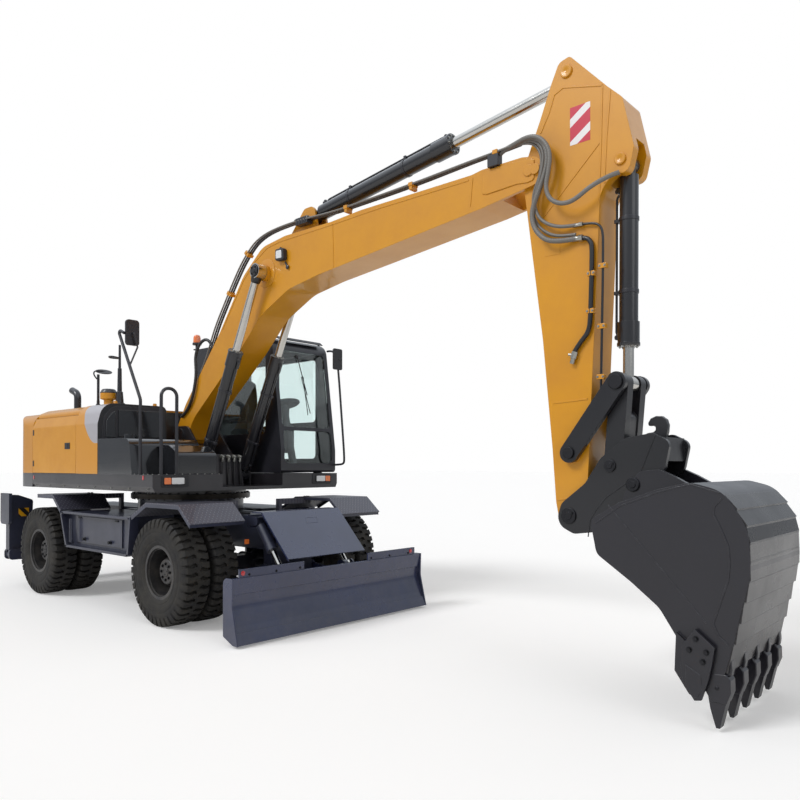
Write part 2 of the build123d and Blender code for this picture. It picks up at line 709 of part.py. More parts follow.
def fenders():
    front_line = [(885, FRAME_TOP_Z + 4), (1180, FENDER_TOP_Z), (1765, FENDER_TOP_Z), (1965, 1020)]
    rear_line = [(-1400, FENDER_TOP_Z + 20), (-960, FENDER_TOP_Z + 20), (-760, FRAME_TOP_Z + 4)]
    front = sheet_strip(front_line, FENDER_THICKNESS, FENDER_INNER_Y, FENDER_OUTER_Y)
    rear = sheet_strip(rear_line, FENDER_THICKNESS, FENDER_INNER_Y, FENDER_OUTER_Y)
    front_arm = block(
        (1280, 1340), (FRAME_NECK_HALF_WIDTH + FIT, FENDER_INNER_Y + 100),
        (FENDER_TOP_Z - 60, FENDER_TOP_Z + 2),
    )
    front_post = block(
        (1280, 1340), (FRAME_NECK_HALF_WIDTH + FIT, FRAME_NECK_HALF_WIDTH + 40),
        (FRAME_TOP_Z - 60, FENDER_TOP_Z),
    )
    rear_arm = block(
        (-1200, -1140), (FRAME_NECK_HALF_WIDTH + FIT, FENDER_INNER_Y + 100),
        (FENDER_TOP_Z - 40, FENDER_TOP_Z + 22),
    )
    rear_post = block(
        (-1200, -1140), (FRAME_NECK_HALF_WIDTH + FIT, FRAME_NECK_HALF_WIDTH + 40),
        (FRAME_TOP_Z - 60, FENDER_TOP_Z),
    )
    pieces = fuse(front, front_arm, front_post) + fuse(rear, rear_arm, rear_post)
    return both_sides(pieces)


def blade_guard():
    plate = sheet_strip([GUARD_TOP, GUARD_BOTTOM], GUARD_THICKNESS, -GUARD_HALF_WIDTH, GUARD_HALF_WIDTH)
    deck = block(
        (FRAME_FRONT_X + FIT, GUARD_TOP[0] + 8), (-GUARD_HALF_WIDTH, GUARD_HALF_WIDTH),
        (GUARD_TOP[1] - 4, GUARD_TOP[1] + 8),
    )
    rib = prism(
        [
            (FRAME_FRONT_X + FIT, GUARD_TOP[1] - 4, 0),
            (FRAME_FRONT_X + FIT, FRAME_BOTTOM_Z + 60, 0),
            (2150, 960, 0),
            (GUARD_TOP[0] + 6, GUARD_TOP[1] - 4, 0),
        ],
        "y",
        200,
        216,
    )
    return fuse(deck, plate, rib, *other_side(rib))


# Dozer blade
def dozer_blade():
    face = [
        (BLADE_BOTTOM_X, BLADE_BOTTOM_Z, 0),
        (BLADE_BOTTOM_X - 60, BLADE_BOTTOM_Z + 150, 160),
        (BLADE_TOP_X - 40, BLADE_BOTTOM_Z + 330, 160),
        (BLADE_TOP_X, BLADE_TOP_Z, 0),
        (BLADE_TOP_X - 22, BLADE_TOP_Z, 0),
        (BLADE_TOP_X - 70, BLADE_BOTTOM_Z + 330, 0),
        (BLADE_TOP_X - 110, BLADE_BOTTOM_Z + 300, 0),
        (BLADE_TOP_X - 110, BLADE_BOTTOM_Z + 150, 0),
        (BLADE_BOTTOM_X - 90, BLADE_BOTTOM_Z + 60, 0),
        (BLADE_BOTTOM_X - 40, BLADE_BOTTOM_Z, 0),
    ]
    board = prism(face, "y", -BLADE_HALF_WIDTH + 14, BLADE_HALF_WIDTH - 14)
    end_corners = [
        (BLADE_BOTTOM_X + 6, BLADE_BOTTOM_Z, 0),
        (BLADE_TOP_X + 8, BLADE_BOTTOM_Z + 330, 160),
        (BLADE_TOP_X + 14, BLADE_TOP_Z, 0),
        (BLADE_TOP_X - 120, BLADE_TOP_Z, 60),
        (BLADE_TOP_X - 120, BLADE_BOTTOM_Z + 60, 20),
        (BLADE_BOTTOM_X - 60, BLADE_BOTTOM_Z, 0),
    ]
    pieces = [board]
    for side in (1, -1):
        low, high = sorted((side * (BLADE_HALF_WIDTH - 15), side * BLADE_HALF_WIDTH))
        pieces.append(prism(end_corners, "y", low, high))
        low, high = sorted((side * 430, side * (BLADE_HALF_WIDTH - 90)))
        pieces.append(
            block((BLADE_TOP_X - 22, BLADE_TOP_X - 8), (low, high), (BLADE_TOP_Z - 60, BLADE_TOP_Z + 72)),
        )
        low, high = sorted(
            (
                side * (BLADE_ARM_Y - BLADE_ARM_THICKNESS / 2),
                side * (BLADE_ARM_Y + BLADE_ARM_THICKNESS / 2),
            ),
        )
        arm = prism(
            [
                (BLADE_PIVOT_X - 62, BLADE_PIVOT_Z - 62, 60),
                (2560, 150, 0),
                (2560, 250, 0),
                (2330, 450, 60),
                (BLADE_PIVOT_X - 62, BLADE_PIVOT_Z + 62, 60),
            ],
            "y",
            low,
            high,
        )
        arm = cut(arm, cross_pin((BLADE_PIVOT_X, BLADE_PIVOT_Z), low - 1, high + 1, 38 + PIN_FIT))[0]
        pieces.append(arm)
        x, z = BLADE_CYLINDER_FOOT
        for near, far in (
            (BLADE_ARM_Y + 10, BLADE_CYLINDER_Y - 32), (BLADE_CYLINDER_Y + 32, BLADE_CYLINDER_Y + 50),
        ):
            low, high = sorted((side * near, side * far))
            lug = [
                (x - 50, 350, 0), (2530, 180, 0), (2530, 300, 0), (2430, 360, 0),
                (x + 50, z + 50, 50), (x - 50, z + 50, 50),
            ]
            pieces.append(prism(lug, "y", low, high))
        low, high = sorted((side * (BLADE_CYLINDER_Y + 49), side * (BLADE_CYLINDER_Y + 60)))
        pieces.append(cross_pin((x, z), low, high, 24))
    tie = rod((2100, -BLADE_ARM_Y, 400), (2100, BLADE_ARM_Y, 400), 50)
    return fuse(*pieces, tie)


# Hydraulic cylinders: each is a bored barrel and a rod, drawn from its foot pin to its eye
def barrel(foot, eye, middle_y, radius, length, bore, eye_half, eye_radius, hole, neck, gland=2.6):
    """Barrel in the XZ plane at one Y, with its foot eye, a narrow neck and a thicker gland."""
    end_place = along(foot, eye, length)
    end = (end_place[0], middle_y, end_place[1])
    body_place = along(foot, eye, neck)
    neck_place = along(foot, eye, neck + 5)
    root_place = along(foot, eye, eye_radius * 0.5)
    gland_place = along(foot, eye, length - radius * gland)
    pieces = [
        rod((body_place[0], middle_y, body_place[1]), end, radius),
        rod((gland_place[0], middle_y, gland_place[1]), end, radius * 1.16),
        rod(
            (root_place[0], middle_y, root_place[1]), (neck_place[0], middle_y, neck_place[1]),
            eye_half - 3,
        ),
        cross_pin(foot, middle_y - eye_half, middle_y + eye_half, eye_radius),
    ]
    bore_place = along(foot, eye, neck + 20)
    past = along(foot, eye, length + 1)
    tools = [
        rod((bore_place[0], middle_y, bore_place[1]), (past[0], middle_y, past[1]), bore),
        cross_pin(foot, middle_y - eye_half - 1, middle_y + eye_half + 1, hole),
    ]
    return cut(fuse(*pieces)[0], *tools)


def piston_rod(foot, eye, middle_y, radius, inner_distance, eye_half, eye_radius):
    """Rod from inside the barrel to its closed eye; inner_distance is measured from the foot pin."""
    start = along(foot, eye, inner_distance)
    stop = along(foot, eye, length_between(foot, eye) - eye_radius * 0.6)
    pieces = [
        rod((start[0], middle_y, start[1]), (stop[0], middle_y, stop[1]), radius),
        cross_pin(eye, middle_y - eye_half, middle_y + eye_half, eye_radius),
    ]
    return fuse(*pieces)


# Stabiliser legs and their cylinders, which work in the YZ plane
def stabiliser_leg(side):
    pin_y, pin_z = STABILISER_PIN
    anchor_y, anchor_z = STABILISER_ANCHOR
    web = [
        (pin_y - 55, pin_z - 55, 50),
        (pin_y + 50, pin_z - 55, 50),
        (pin_y + 50, 1180, 0),
        (pin_y - 60, 1180, 20),
        (pin_y - 250, 1110, 40),
        (pin_y - 230, anchor_z - 45, 30),
    ]
    gap = LEG_PLATE_GAP / 2
    plates = [prism(web, "x", STABILISER_X + gap, STABILISER_X + LEG_HALF_THICKNESS)]
    plates.append(prism(web, "x", STABILISER_X - LEG_HALF_THICKNESS, STABILISER_X - gap))
    column = block(
        (STABILISER_X - gap - 1, STABILISER_X + gap + 1), (pin_y + 10, pin_y + 50),
        (pin_z + 60, 1180),
    )
    pad = prism(
        [
            (STABILISER_X - 145, 800, 60),
            (STABILISER_X + 145, 800, 60),
            (STABILISER_X + 145, 1205, 10),
            (STABILISER_X - 145, 1205, 10),
        ],
        "y",
        pin_y + 49,
        PAD_OUTER_Y,
    )
    boss = rod((STABILISER_X - gap - 1, pin_y, pin_z), (STABILISER_X + gap + 1, pin_y, pin_z), 48)
    heads = []
    for near, far in (
        (LEG_HALF_THICKNESS - 1, LEG_HALF_THICKNESS + 10),
        (-LEG_HALF_THICKNESS - 10, -LEG_HALF_THICKNESS + 1),
    ):
        heads.append(
            rod((STABILISER_X + near, anchor_y, anchor_z), (STABILISER_X + far, anchor_y, anchor_z), 24),
        )
    leg = fuse(*plates, column, pad, boss, *heads)[0]
    holes = [rod((STABILISER_X - 90, pin_y, pin_z), (STABILISER_X + 90, pin_y, pin_z), 32 + PIN_FIT)]
    leg = cut(leg, *holes)
    return leg if side > 0 else other_side(leg)


def leg_cylinder_barrel(side):
    foot = STABILISER_BASE
    piece = barrel(
        foot, STABILISER_ANCHOR, 0, LEG_BARREL_RADIUS, LEG_BARREL_LENGTH, LEG_ROD_RADIUS + PIN_FIT,
        25, 42, 20 + PIN_FIT, 75, 1.2,
    )
    piece = [solid.rotate(Axis.Z, 90).moved(Location((STABILISER_X, 0, 0))) for solid in piece]
    return piece if side > 0 else other_side(piece)


def leg_cylinder_rod(side):
    foot = STABILISER_BASE
    piece = piston_rod(foot, STABILISER_ANCHOR, 0, LEG_ROD_RADIUS, 100, 25, 36)
    piece = [solid.rotate(Axis.Z, 90).moved(Location((STABILISER_X, 0, 0))) for solid in piece]
    return piece if side > 0 else other_side(piece)


# House
def house_frame():
    floor = prism(
        [
            (HOUSE_REAR_X, -HOUSE_HALF_WIDTH + 60, 0),
            (HOUSE_FRONT_X, -HOUSE_HALF_WIDTH + 60, 0),
            (HOUSE_FRONT_X, HOUSE_HALF_WIDTH - 60, 0),
            (HOUSE_REAR_X, HOUSE_HALF_WIDTH - 60, 0),
        ],
        "z",
        HOUSE_FLOOR_Z,
        HOUSE_FLOOR_Z + HOUSE_FLOOR_THICKNESS,
    )
    skirt = [
        (HOUSE_HALF_WIDTH, DECK_Z, 0),
        (HOUSE_HALF_WIDTH - 90, DECK_Z, 0),
        (HOUSE_HALF_WIDTH - 90, HOUSE_FLOOR_Z, 0),
        (HOUSE_HALF_WIDTH - 25, HOUSE_FLOOR_Z, 0),
        (HOUSE_HALF_WIDTH, HOUSE_FLOOR_Z + 45, 40),
    ]
    skirts = both_sides(prism(skirt, "x", HOUSE_REAR_X, HOUSE_FRONT_X))
    pieces = [floor] + skirts
    for low, high in (
        (BAY_HALF_WIDTH, HOUSE_HALF_WIDTH - 40), (-HOUSE_HALF_WIDTH + 40, -BAY_HALF_WIDTH - 40),
    ):
        pieces.append(block((HOUSE_FRONT_X - 60, HOUSE_FRONT_X), (low, high), (HOUSE_FLOOR_Z, DECK_Z)))
        pieces.append(block((HOUSE_REAR_X, HOUSE_FRONT_X), (low, high), (DECK_Z - 12, DECK_Z)))
        inner = low if low > 0 else high - 20
        pieces.append(block((-200, HOUSE_FRONT_X), (inner, inner + 20), (HOUSE_FLOOR_Z, DECK_Z)))
    foot_x, foot_z = BOOM_FOOT
    cylinder_x, cylinder_z = BOOM_CYLINDER_FOOT
    web = [
        (-400, HOUSE_FLOOR_Z + 20, 0),
        (cylinder_x + 130, HOUSE_FLOOR_Z + 20, 0),
        (cylinder_x + 90, cylinder_z + 60, 60),
        (foot_x + 150, foot_z + 120, 120),
        (foot_x - 120, foot_z + 120, 110),
    ]
    for side in (1, -1):
        low, high = sorted((side * BRACKET_INNER_Y, side * (BRACKET_INNER_Y + BRACKET_THICKNESS)))
        pieces.append(prism(web, "y", low, high))
        low, high = sorted(
            (side * (BRACKET_INNER_Y - 10), side * (BRACKET_INNER_Y + BRACKET_THICKNESS + 16)),
        )
        pieces.append(
            cross_pin(BOOM_FOOT, low + (10 if side > 0 else 0), high - (10 if side < 0 else 0), 95),
        )
        low, high = sorted((side * (BRACKET_INNER_Y + 5), side * (BOOM_CYLINDER_Y + EYE_HALF_WIDTH + 14)))
        pieces.append(cross_pin(BOOM_CYLINDER_FOOT, low, high, 34))
        near = BOOM_CYLINDER_Y + EYE_HALF_WIDTH + RUNNING_GAP
        low, high = sorted((side * near, side * (near + 22)))
        ear = [
            (cylinder_x - 150, HOUSE_FLOOR_Z + 20, 0),
            (cylinder_x + 66, HOUSE_FLOOR_Z + 20, 0),
            (cylinder_x + 66, cylinder_z + 60, 62),
            (cylinder_x - 66, cylinder_z + 60, 62),
        ]
        pieces.append(prism(ear, "y", low, high))
    for x in (CAB_REAR_X + 120, 1050):
        for y in (CAB_RIGHT_Y + 110, CAB_LEFT_Y - 130):
            pieces.append(rod((x, y, DECK_Z - 2), (x, y, CAB_BOTTOM_Z), 55))
    rear_tie = block(
        (-390, -365), (-BRACKET_INNER_Y, BRACKET_INNER_Y), (HOUSE_FLOOR_Z + 20, HOUSE_FLOOR_Z + 300),
    )
    ring = rod(
        (0, 0, TURRET_TOP_Z + RING_HEIGHT + FIT), (0, 0, HOUSE_FLOOR_Z + 5), RING_OUTER_RADIUS - 50,
    )
    ring_hole = rod((0, 0, TURRET_TOP_Z), (0, 0, HOUSE_FLOOR_Z), RING_BORE_RADIUS)
    pin_bar = cross_pin(BOOM_FOOT, -BRACKET_INNER_Y - 5, BRACKET_INNER_Y + 5, 45)
    bulkhead = prism(
        [(-180, HOUSE_FLOOR_Z + 20, 0), (180, HOUSE_FLOOR_Z + 20, 0), (180, 1700, 40), (-180, 1700, 40)],
        "x",
        BULKHEAD_X,
        BULKHEAD_X + 12,
    )
    return cut(fuse(*pieces, rear_tie, ring, pin_bar, bulkhead)[0], ring_hole)


def tail_outline(z_low, z_high, inset):
    """Rounded tail in plan, between the rear of the doors and the tail radius."""
    side = HOUSE_HALF_WIDTH - inset
    corners = [
        (HOUSE_REAR_X - FIT, -side, 0),
        (HOUSE_REAR_X - FIT, side, 0),
        (HOUSE_REAR_X - TAIL_CORNER + inset, side - 30, TAIL_CORNER * 0.8),
        (-TAIL_RADIUS + inset, side / 2, TAIL_CORNER * 0.6),
        (-TAIL_RADIUS + inset, -side / 2, TAIL_CORNER * 0.6),
        (HOUSE_REAR_X - TAIL_CORNER + inset, -side + 30, TAIL_CORNER * 0.8),
    ]
    return prism(corners, "z", z_low, z_high)


def counterweight():
    lower = tail_outline(HOUSE_FLOOR_Z, HOOD_TOP_Z - 280, 0)
    upper_side = [
        (-HOUSE_HALF_WIDTH, HOOD_TOP_Z - 281, 0),
        (HOUSE_HALF_WIDTH, HOOD_TOP_Z - 281, 0),
        (HOUSE_HALF_WIDTH - 30, HOOD_TOP_Z - 40, HOOD_SHOULDER),
        (-HOUSE_HALF_WIDTH + 30, HOOD_TOP_Z - 40, HOOD_SHOULDER),
    ]
    upper = prism(upper_side, "x", -TAIL_RADIUS, HOUSE_REAR_X - FIT)
    bound = tail_outline(HOOD_TOP_Z - 300, HOOD_TOP_Z, 0)
    upper = (upper & bound).solids()[0]
    return fuse(lower, upper)


def engine_block():
    return block(
        (HOUSE_REAR_X + 80, HOUSE_REAR_X + 900), (-300, 370),
        (HOUSE_FLOOR_Z + HOUSE_FLOOR_THICKNESS, 2080),
    )


def engine_bay():
    """Fixed walls in front of the engine bay; the lid and the doors close on their edges."""
    lid_underside = HOOD_TOP_Z - LID_THICKNESS - FIT
    door_inside = HOUSE_HALF_WIDTH - SHEET - DOOR_GAP
    shoulder_y = HOUSE_HALF_WIDTH - 265
    side_wall_y = (BAY_HALF_WIDTH - 20, BAY_HALF_WIDTH)
    front_face = [
        (-door_inside, DECK_Z, 0),
        (side_wall_y[1], DECK_Z, 0),
        (side_wall_y[1], lid_underside, 0),
        (-shoulder_y, lid_underside, 0),
        (-HOUSE_HALF_WIDTH + 140, HOOD_TOP_Z - 125, 0),
        (-HOUSE_HALF_WIDTH + 66, HOOD_TOP_Z - 130, 0),
        (-door_inside, HOOD_TOP_Z - 242, 0),
    ]
    left_face = [
        (side_wall_y[0], DECK_Z, 0),
        (door_inside, DECK_Z, 0),
        (door_inside, HOOD_TOP_Z - 242, 0),
        (HOUSE_HALF_WIDTH - 66, HOOD_TOP_Z - 130, 0),
        (HOUSE_HALF_WIDTH - 140, HOOD_TOP_Z - 125, 0),
        (shoulder_y, lid_underside, 0),
        (side_wall_y[0], lid_underside, 0),
    ]
    front_wall = prism(front_face, "x", ENGINE_WALL_X, ENGINE_WALL_X + 20)
    left_wall = prism(left_face, "x", CAB_BACK_WALL_X, CAB_BACK_WALL_X + 20)
    side_wall = block((CAB_BACK_WALL_X, ENGINE_WALL_X + 20), side_wall_y, (DECK_Z, lid_underside))
    lower_wall = block(
        (ENGINE_WALL_X, ENGINE_WALL_X + 20),
        (-BAY_HALF_WIDTH, side_wall_y[1]),
        (HOUSE_FLOOR_Z + HOUSE_FLOOR_THICKNESS, DECK_Z),
    )
    return fuse(front_wall, left_wall, side_wall, lower_wall)


def front_box():
    """Closed right front part of the hood, with the silver panel and the air intake."""
    side = [
        (-HOUSE_HALF_WIDTH, DECK_Z, 0),
        (-BAY_HALF_WIDTH - 30, DECK_Z, 0),
        (-BAY_HALF_WIDTH - 30, HOOD_TOP_Z, 60),
        (-HOUSE_HALF_WIDTH + 60, HOOD_TOP_Z, HOOD_SHOULDER),
        (-HOUSE_HALF_WIDTH, HOOD_TOP_Z - 230, 60),
    ]
    return [prism(side, "x", -409, HOOD_FRONT_X)]


def side_door(side):
    """Door with the rounded shoulder of the hood; thickness of one sheet."""
    end = ENGINE_WALL_X + 16 if side < 0 else CAB_BACK_WALL_X + 16
    start = ENGINE_BAY_REAR_X + 4
    wall = SHEET
    outer = [
        (HOUSE_HALF_WIDTH, DECK_Z + 3, 0),
        (HOUSE_HALF_WIDTH, HOOD_TOP_Z - 230, 60),
        (HOUSE_HALF_WIDTH - 40, HOOD_TOP_Z - 116, 0),
        (HOUSE_HALF_WIDTH - 40 - wall, HOOD_TOP_Z - 116, 0),
        (HOUSE_HALF_WIDTH - wall, HOOD_TOP_Z - 230, 40),
        (HOUSE_HALF_WIDTH - wall, DECK_Z + 3, 0),
    ]
    door = prism(outer, "x", start, end)
    return [door] if side > 0 else other_side(door)


def hood_lid():
    """Top hood over the engine, hinged along its rear edge."""
    front = ENGINE_WALL_X + 16
    lid = prism(
        [
            (-HOUSE_HALF_WIDTH + 66, HOOD_TOP_Z - 110, 0),
            (-HOUSE_HALF_WIDTH + 66, HOOD_TOP_Z - 60, 60),
            (-HOUSE_HALF_WIDTH + 200, HOOD_TOP_Z, 150),
            (HOUSE_HALF_WIDTH - 200, HOOD_TOP_Z, 150),
            (HOUSE_HALF_WIDTH - 66, HOOD_TOP_Z - 60, 60),
            (HOUSE_HALF_WIDTH - 66, HOOD_TOP_Z - 110, 0),
            (HOUSE_HALF_WIDTH - 90, HOOD_TOP_Z - 110, 0),
            (HOUSE_HALF_WIDTH - 215, HOOD_TOP_Z - LID_THICKNESS, 130),
            (-HOUSE_HALF_WIDTH + 215, HOOD_TOP_Z - LID_THICKNESS, 130),
            (-HOUSE_HALF_WIDTH + 90, HOOD_TOP_Z - 110, 0),
        ],
        "x",
        ENGINE_BAY_REAR_X + 6,
        front,
    )
    cab_corner = block(
        (CAB_BACK_WALL_X + 18, front + 1), (BAY_HALF_WIDTH - 1, HOUSE_HALF_WIDTH),
        (HOOD_TOP_Z - 200, HOOD_TOP_Z + 10),
    )
    return cut(lid, cab_corner)


def fuel_tank():
    """Tank and stepped box in front of the hood on the right."""
    upper = prism(
        [(HOOD_FRONT_X + 6, DECK_Z, 0), (860, DECK_Z, 0), (800, 1850, 90), (HOOD_FRONT_X + 6, 1860, 20)],
        "y",
        -HOUSE_HALF_WIDTH,
        -BAY_HALF_WIDTH - 40,
    )
    lower = prism(
        [(866, DECK_Z, 0), (1150, DECK_Z, 0), (1150, 1700, 60), (1000, 1780, 80), (866, 1790, 0)],
        "y",
        -900,
        -BAY_HALF_WIDTH - 40,
    )
    cap_y = -HOUSE_HALF_WIDTH + 140
    neck = rod((560, cap_y, 1800), (560, cap_y, 1900), 62)
    return [fuse(upper, neck)[0], lower]


def handrails():
    """Bent tube hoop beside the tank at the right front corner."""
    x, outer_y, inner_y, top_z = HOOP_X, HOOP_OUTER_Y, HOOP_INNER_Y, HOOP_TOP_Z
    points = [(x, outer_y, DECK_Z), (x, outer_y, top_z), (x, inner_y, top_z), (x, inner_y, DECK_Z)]
    return [tube(points, 17, (inner_y - outer_y) / 2 - 5)]


def mirror_right():
    """Mirror on a long bent tube that leans back over the right front corner."""
    x, y = MIRROR_FOOT
    lean_y = y - 33
    plate_x, plate_y, plate_z = MIRROR_PLATE
    post = tube(
        [(x, y, DECK_Z), (x, y, 2240), (x - 408, lean_y, 3000), (x - 275, lean_y, 2945)],
        16,
        [90, 24],
    )
    plate = prism(
        rounded((plate_y - 74, plate_y + 74), (plate_z - 134, plate_z + 134), 34), "x", plate_x,
        plate_x + 26,
    )
    clamp = (x - 190, y - 20, 2590)
    elbow = (plate_x + 52, plate_y + 40, plate_z - 150)
    stay = tube(
        [clamp, elbow, (plate_x + 52, plate_y, plate_z - 10), (plate_x + 20, plate_y, plate_z)], 9,
        12,
    )
    return fuse(post, plate, stay)


def air_cleaner():
    """Air cleaner with its rain cap on top of the front box."""
    x, y = AIR_CLEANER
    rows = [(0, 0, 0), (0, 52, 0), (60, 52, 0), (75, 92, 0), (150, 92, 0), (190, 70, 30), (190, 0, 0)]
    spots = [(radius, HOOD_TOP_Z + FIT + z, corner) for z, radius, corner in rows]
    face = Face(outline(spots, lambda a, b: Vector(x + a, y, b)))
    return [Solid.revolve(face, 360, Axis((x, y, 0), (0, 0, 1)))]


def exhaust_stack():
    x, y = EXHAUST
    points = [(x, y, HOOD_TOP_Z), (x, y, HOOD_TOP_Z + 210), (x - 150, y, HOOD_TOP_Z + 260)]
    return [tube(points, 42, 90)]


# Cab
CAB_SIDE = [
    (CAB_REAR_X, CAB_BOTTOM_Z, 30),
    (1232, CAB_BOTTOM_Z, 40),
    (1232, 1760, 200),
    (1060, CAB_TOP_Z - 60, 160),
    (940, CAB_TOP_Z, 60),
    (CAB_REAR_X + 30, CAB_TOP_Z, 120),
    (CAB_REAR_X, 2500, 60),
]
CAB_FRONT_X = 1232
CAB_BEND_Z = 1760
DOOR_FRONT_X = 980
DOOR_REAR_X = 60
DOOR_HINGE_Y = CAB_LEFT_Y + 9.4
DOOR_BOTTOM_Z = CAB_BOTTOM_Z + 70
DOOR_TOP_Z = CAB_TOP_Z - 110
DOOR_CORNER = 70
WINDOW_CORNER = 55
PANE_THICKNESS = 6

# Cab openings as (low, high) pairs: along the machine or across it, then up
RIGHT_WINDOW = ((-100, 940), (1950, CAB_TOP_Z - 170))
LEFT_WINDOW = ((-470, -40), (2100, CAB_TOP_Z - 170))
REAR_WINDOW = ((CAB_RIGHT_Y + 90, CAB_LEFT_Y - 90), (2250, CAB_TOP_Z - 170))
LOWER_WINDSCREEN = ((CAB_RIGHT_Y + 52, CAB_LEFT_Y - 52), (CAB_BOTTOM_Z + 110, 1985))
UPPER_WINDSCREEN = ((CAB_RIGHT_Y + 52, CAB_LEFT_Y - 52), (2025, CAB_TOP_Z - 150))
DOOR_WINDOW_SPAN = (DOOR_REAR_X + 80, DOOR_FRONT_X - 70)
DOOR_WINDOWS = ((2120, DOOR_TOP_Z - 70), (DOOR_BOTTOM_Z + 100, 2050))


def cab_shell():
    outer = prism(CAB_SIDE, "y", CAB_RIGHT_Y, CAB_LEFT_Y)
    wall = CAB_WALL
    inner_side = [
        (CAB_REAR_X + wall, CAB_BOTTOM_Z + wall, 0),
        (CAB_FRONT_X - wall, CAB_BOTTOM_Z + wall, 0),
        (CAB_FRONT_X - wall, CAB_BEND_Z, 150),
        (1060 - wall, CAB_TOP_Z - 60 - wall, 120),
        (930, CAB_TOP_Z - wall, 0),
        (CAB_REAR_X + wall + 10, CAB_TOP_Z - wall, 60),
        (CAB_REAR_X + wall, 2500, 60),
    ]
    inner = prism(inner_side, "y", CAB_RIGHT_Y + wall, CAB_LEFT_Y - wall)
    openings = [
        prism(rounded(*LOWER_WINDSCREEN, WINDOW_CORNER), "x", 985, 1400),
        prism(rounded(*UPPER_WINDSCREEN, WINDOW_CORNER), "x", 985, 1400),
        prism(rounded(*RIGHT_WINDOW, WINDOW_CORNER), "y", CAB_RIGHT_Y - 5, CAB_RIGHT_Y + wall + 5),
        prism(rounded(*REAR_WINDOW, WINDOW_CORNER), "x", CAB_REAR_X - 5, CAB_REAR_X + wall + 30),
        prism(rounded(*LEFT_WINDOW, WINDOW_CORNER), "y", CAB_LEFT_Y - wall - 5, CAB_LEFT_Y + 5),
    ]
    door_sides = ((DOOR_REAR_X, DOOR_FRONT_X), (DOOR_BOTTOM_Z, DOOR_TOP_Z))
    openings.append(prism(rounded(*door_sides, DOOR_CORNER), "y", CAB_LEFT_Y - wall - 5, CAB_LEFT_Y + 5))
    shell = cut(outer, inner, *openings)[0]
    hatch = prism(rounded((100, 720), (560, 1090), 70), "z", CAB_TOP_Z - 20, CAB_TOP_Z + 42)
    return fuse(shell, hatch)


def cab_door():
    gap = 5
    sides = ((DOOR_REAR_X, DOOR_FRONT_X), (DOOR_BOTTOM_Z, DOOR_TOP_Z))
    leaf = prism(rounded(*sides, DOOR_CORNER, gap), "y", CAB_LEFT_Y - CAB_WALL, CAB_LEFT_Y)
    for heights in DOOR_WINDOWS:
        corners = rounded(DOOR_WINDOW_SPAN, heights, WINDOW_CORNER)
        leaf = cut(leaf, prism(corners, "y", CAB_LEFT_Y - CAB_WALL - 5, CAB_LEFT_Y + 5))[0]
    hinges = []
    for z in (1750, 2780):
        hinges.append(rod((DOOR_REAR_X, DOOR_HINGE_Y, z), (DOOR_REAR_X, DOOR_HINGE_Y, z + 90), 9))
        hinges.append(
            block((DOOR_REAR_X + 1, DOOR_REAR_X + 40), (CAB_LEFT_Y - 1, DOOR_HINGE_Y), (z + 5, z + 85)),
        )
    return fuse(leaf, *hinges)


def pane(opening, axis, low):
    """Glass in a rounded opening, one fit smaller all round."""
    return prism(rounded(*opening, WINDOW_CORNER, FIT), axis, low, low + PANE_THICKNESS)


def cab_glass():
    half = PANE_THICKNESS / 2
    panes = [
        pane(RIGHT_WINDOW, "y", CAB_RIGHT_Y + CAB_WALL / 2 - half),
        pane(LEFT_WINDOW, "y", CAB_LEFT_Y - CAB_WALL / 2 - half),
        pane(REAR_WINDOW, "x", CAB_REAR_X + 15),
    ]
    front_line = [(CAB_FRONT_X - 23, 1500), (CAB_FRONT_X - 23, CAB_BEND_Z + 2), (1045, 2980)]
    sheet = sheet_strip(front_line[::-1], PANE_THICKNESS, CAB_RIGHT_Y, CAB_LEFT_Y)
    for opening in (LOWER_WINDSCREEN, UPPER_WINDSCREEN):
        reach = prism(rounded(*opening, WINDOW_CORNER, FIT), "x", 985, 1400)
        panes.extend((sheet & reach).solids())
    return panes


def door_glass():
    low = CAB_LEFT_Y - CAB_WALL / 2 - PANE_THICKNESS / 2
    return [pane((DOOR_WINDOW_SPAN, heights), "y", low) for heights in DOOR_WINDOWS]


def cab_interior():
    """Seat on its box, side consoles and steering column with its wheel."""
    floor_z = CAB_BOTTOM_Z + CAB_WALL
    centre = (CAB_RIGHT_Y + CAB_LEFT_Y) / 2
    seat_box = block((-150, 300), (centre - 170, centre + 170), (floor_z, floor_z + 330))
    cushion = prism(
        [
            (-170, floor_z + 329, 0), (370, floor_z + 329, 30), (370, floor_z + 440, 50),
            (-170, floor_z + 430, 0),
        ],
        "y", centre - 250, centre + 250,
    )
    back = prism(
        [
            (-170, floor_z + 380, 0), (-60, floor_z + 380, 0), (-130, floor_z + 1150, 40),
            (-230, floor_z + 1150, 40),
        ],
        "y", centre - 240, centre + 240,
    )
    column = rod((940, centre, floor_z + 30), (752, centre, floor_z + 786), 45)
    column_foot = block((860, 1020), (centre - 90, centre + 90), (floor_z, floor_z + 60))
    wheel = Solid.make_torus(185, 16, Plane(origin=(750, centre, floor_z + 800), z_dir=(-0.25, 0, 0.97)))
    hub = Solid.make_cylinder(186, 14, Plane(origin=(754, centre, floor_z + 780), z_dir=(-0.25, 0, 0.97)))
    consoles = [
        block((-100, 520), (centre - 375, centre - 265), (floor_z, floor_z + 560)),
        block((-100, 520), (centre + 265, centre + 360), (floor_z + 200, floor_z + 560)),
    ]
    seat = fuse(seat_box, cushion, back)
    steering = fuse(column, column_foot, hub, wheel)
    tie = block((-90, 250), (centre - 270, centre + 270), (floor_z + 210, floor_z + 260))
    return fuse(seat[0], tie, *consoles) + steering


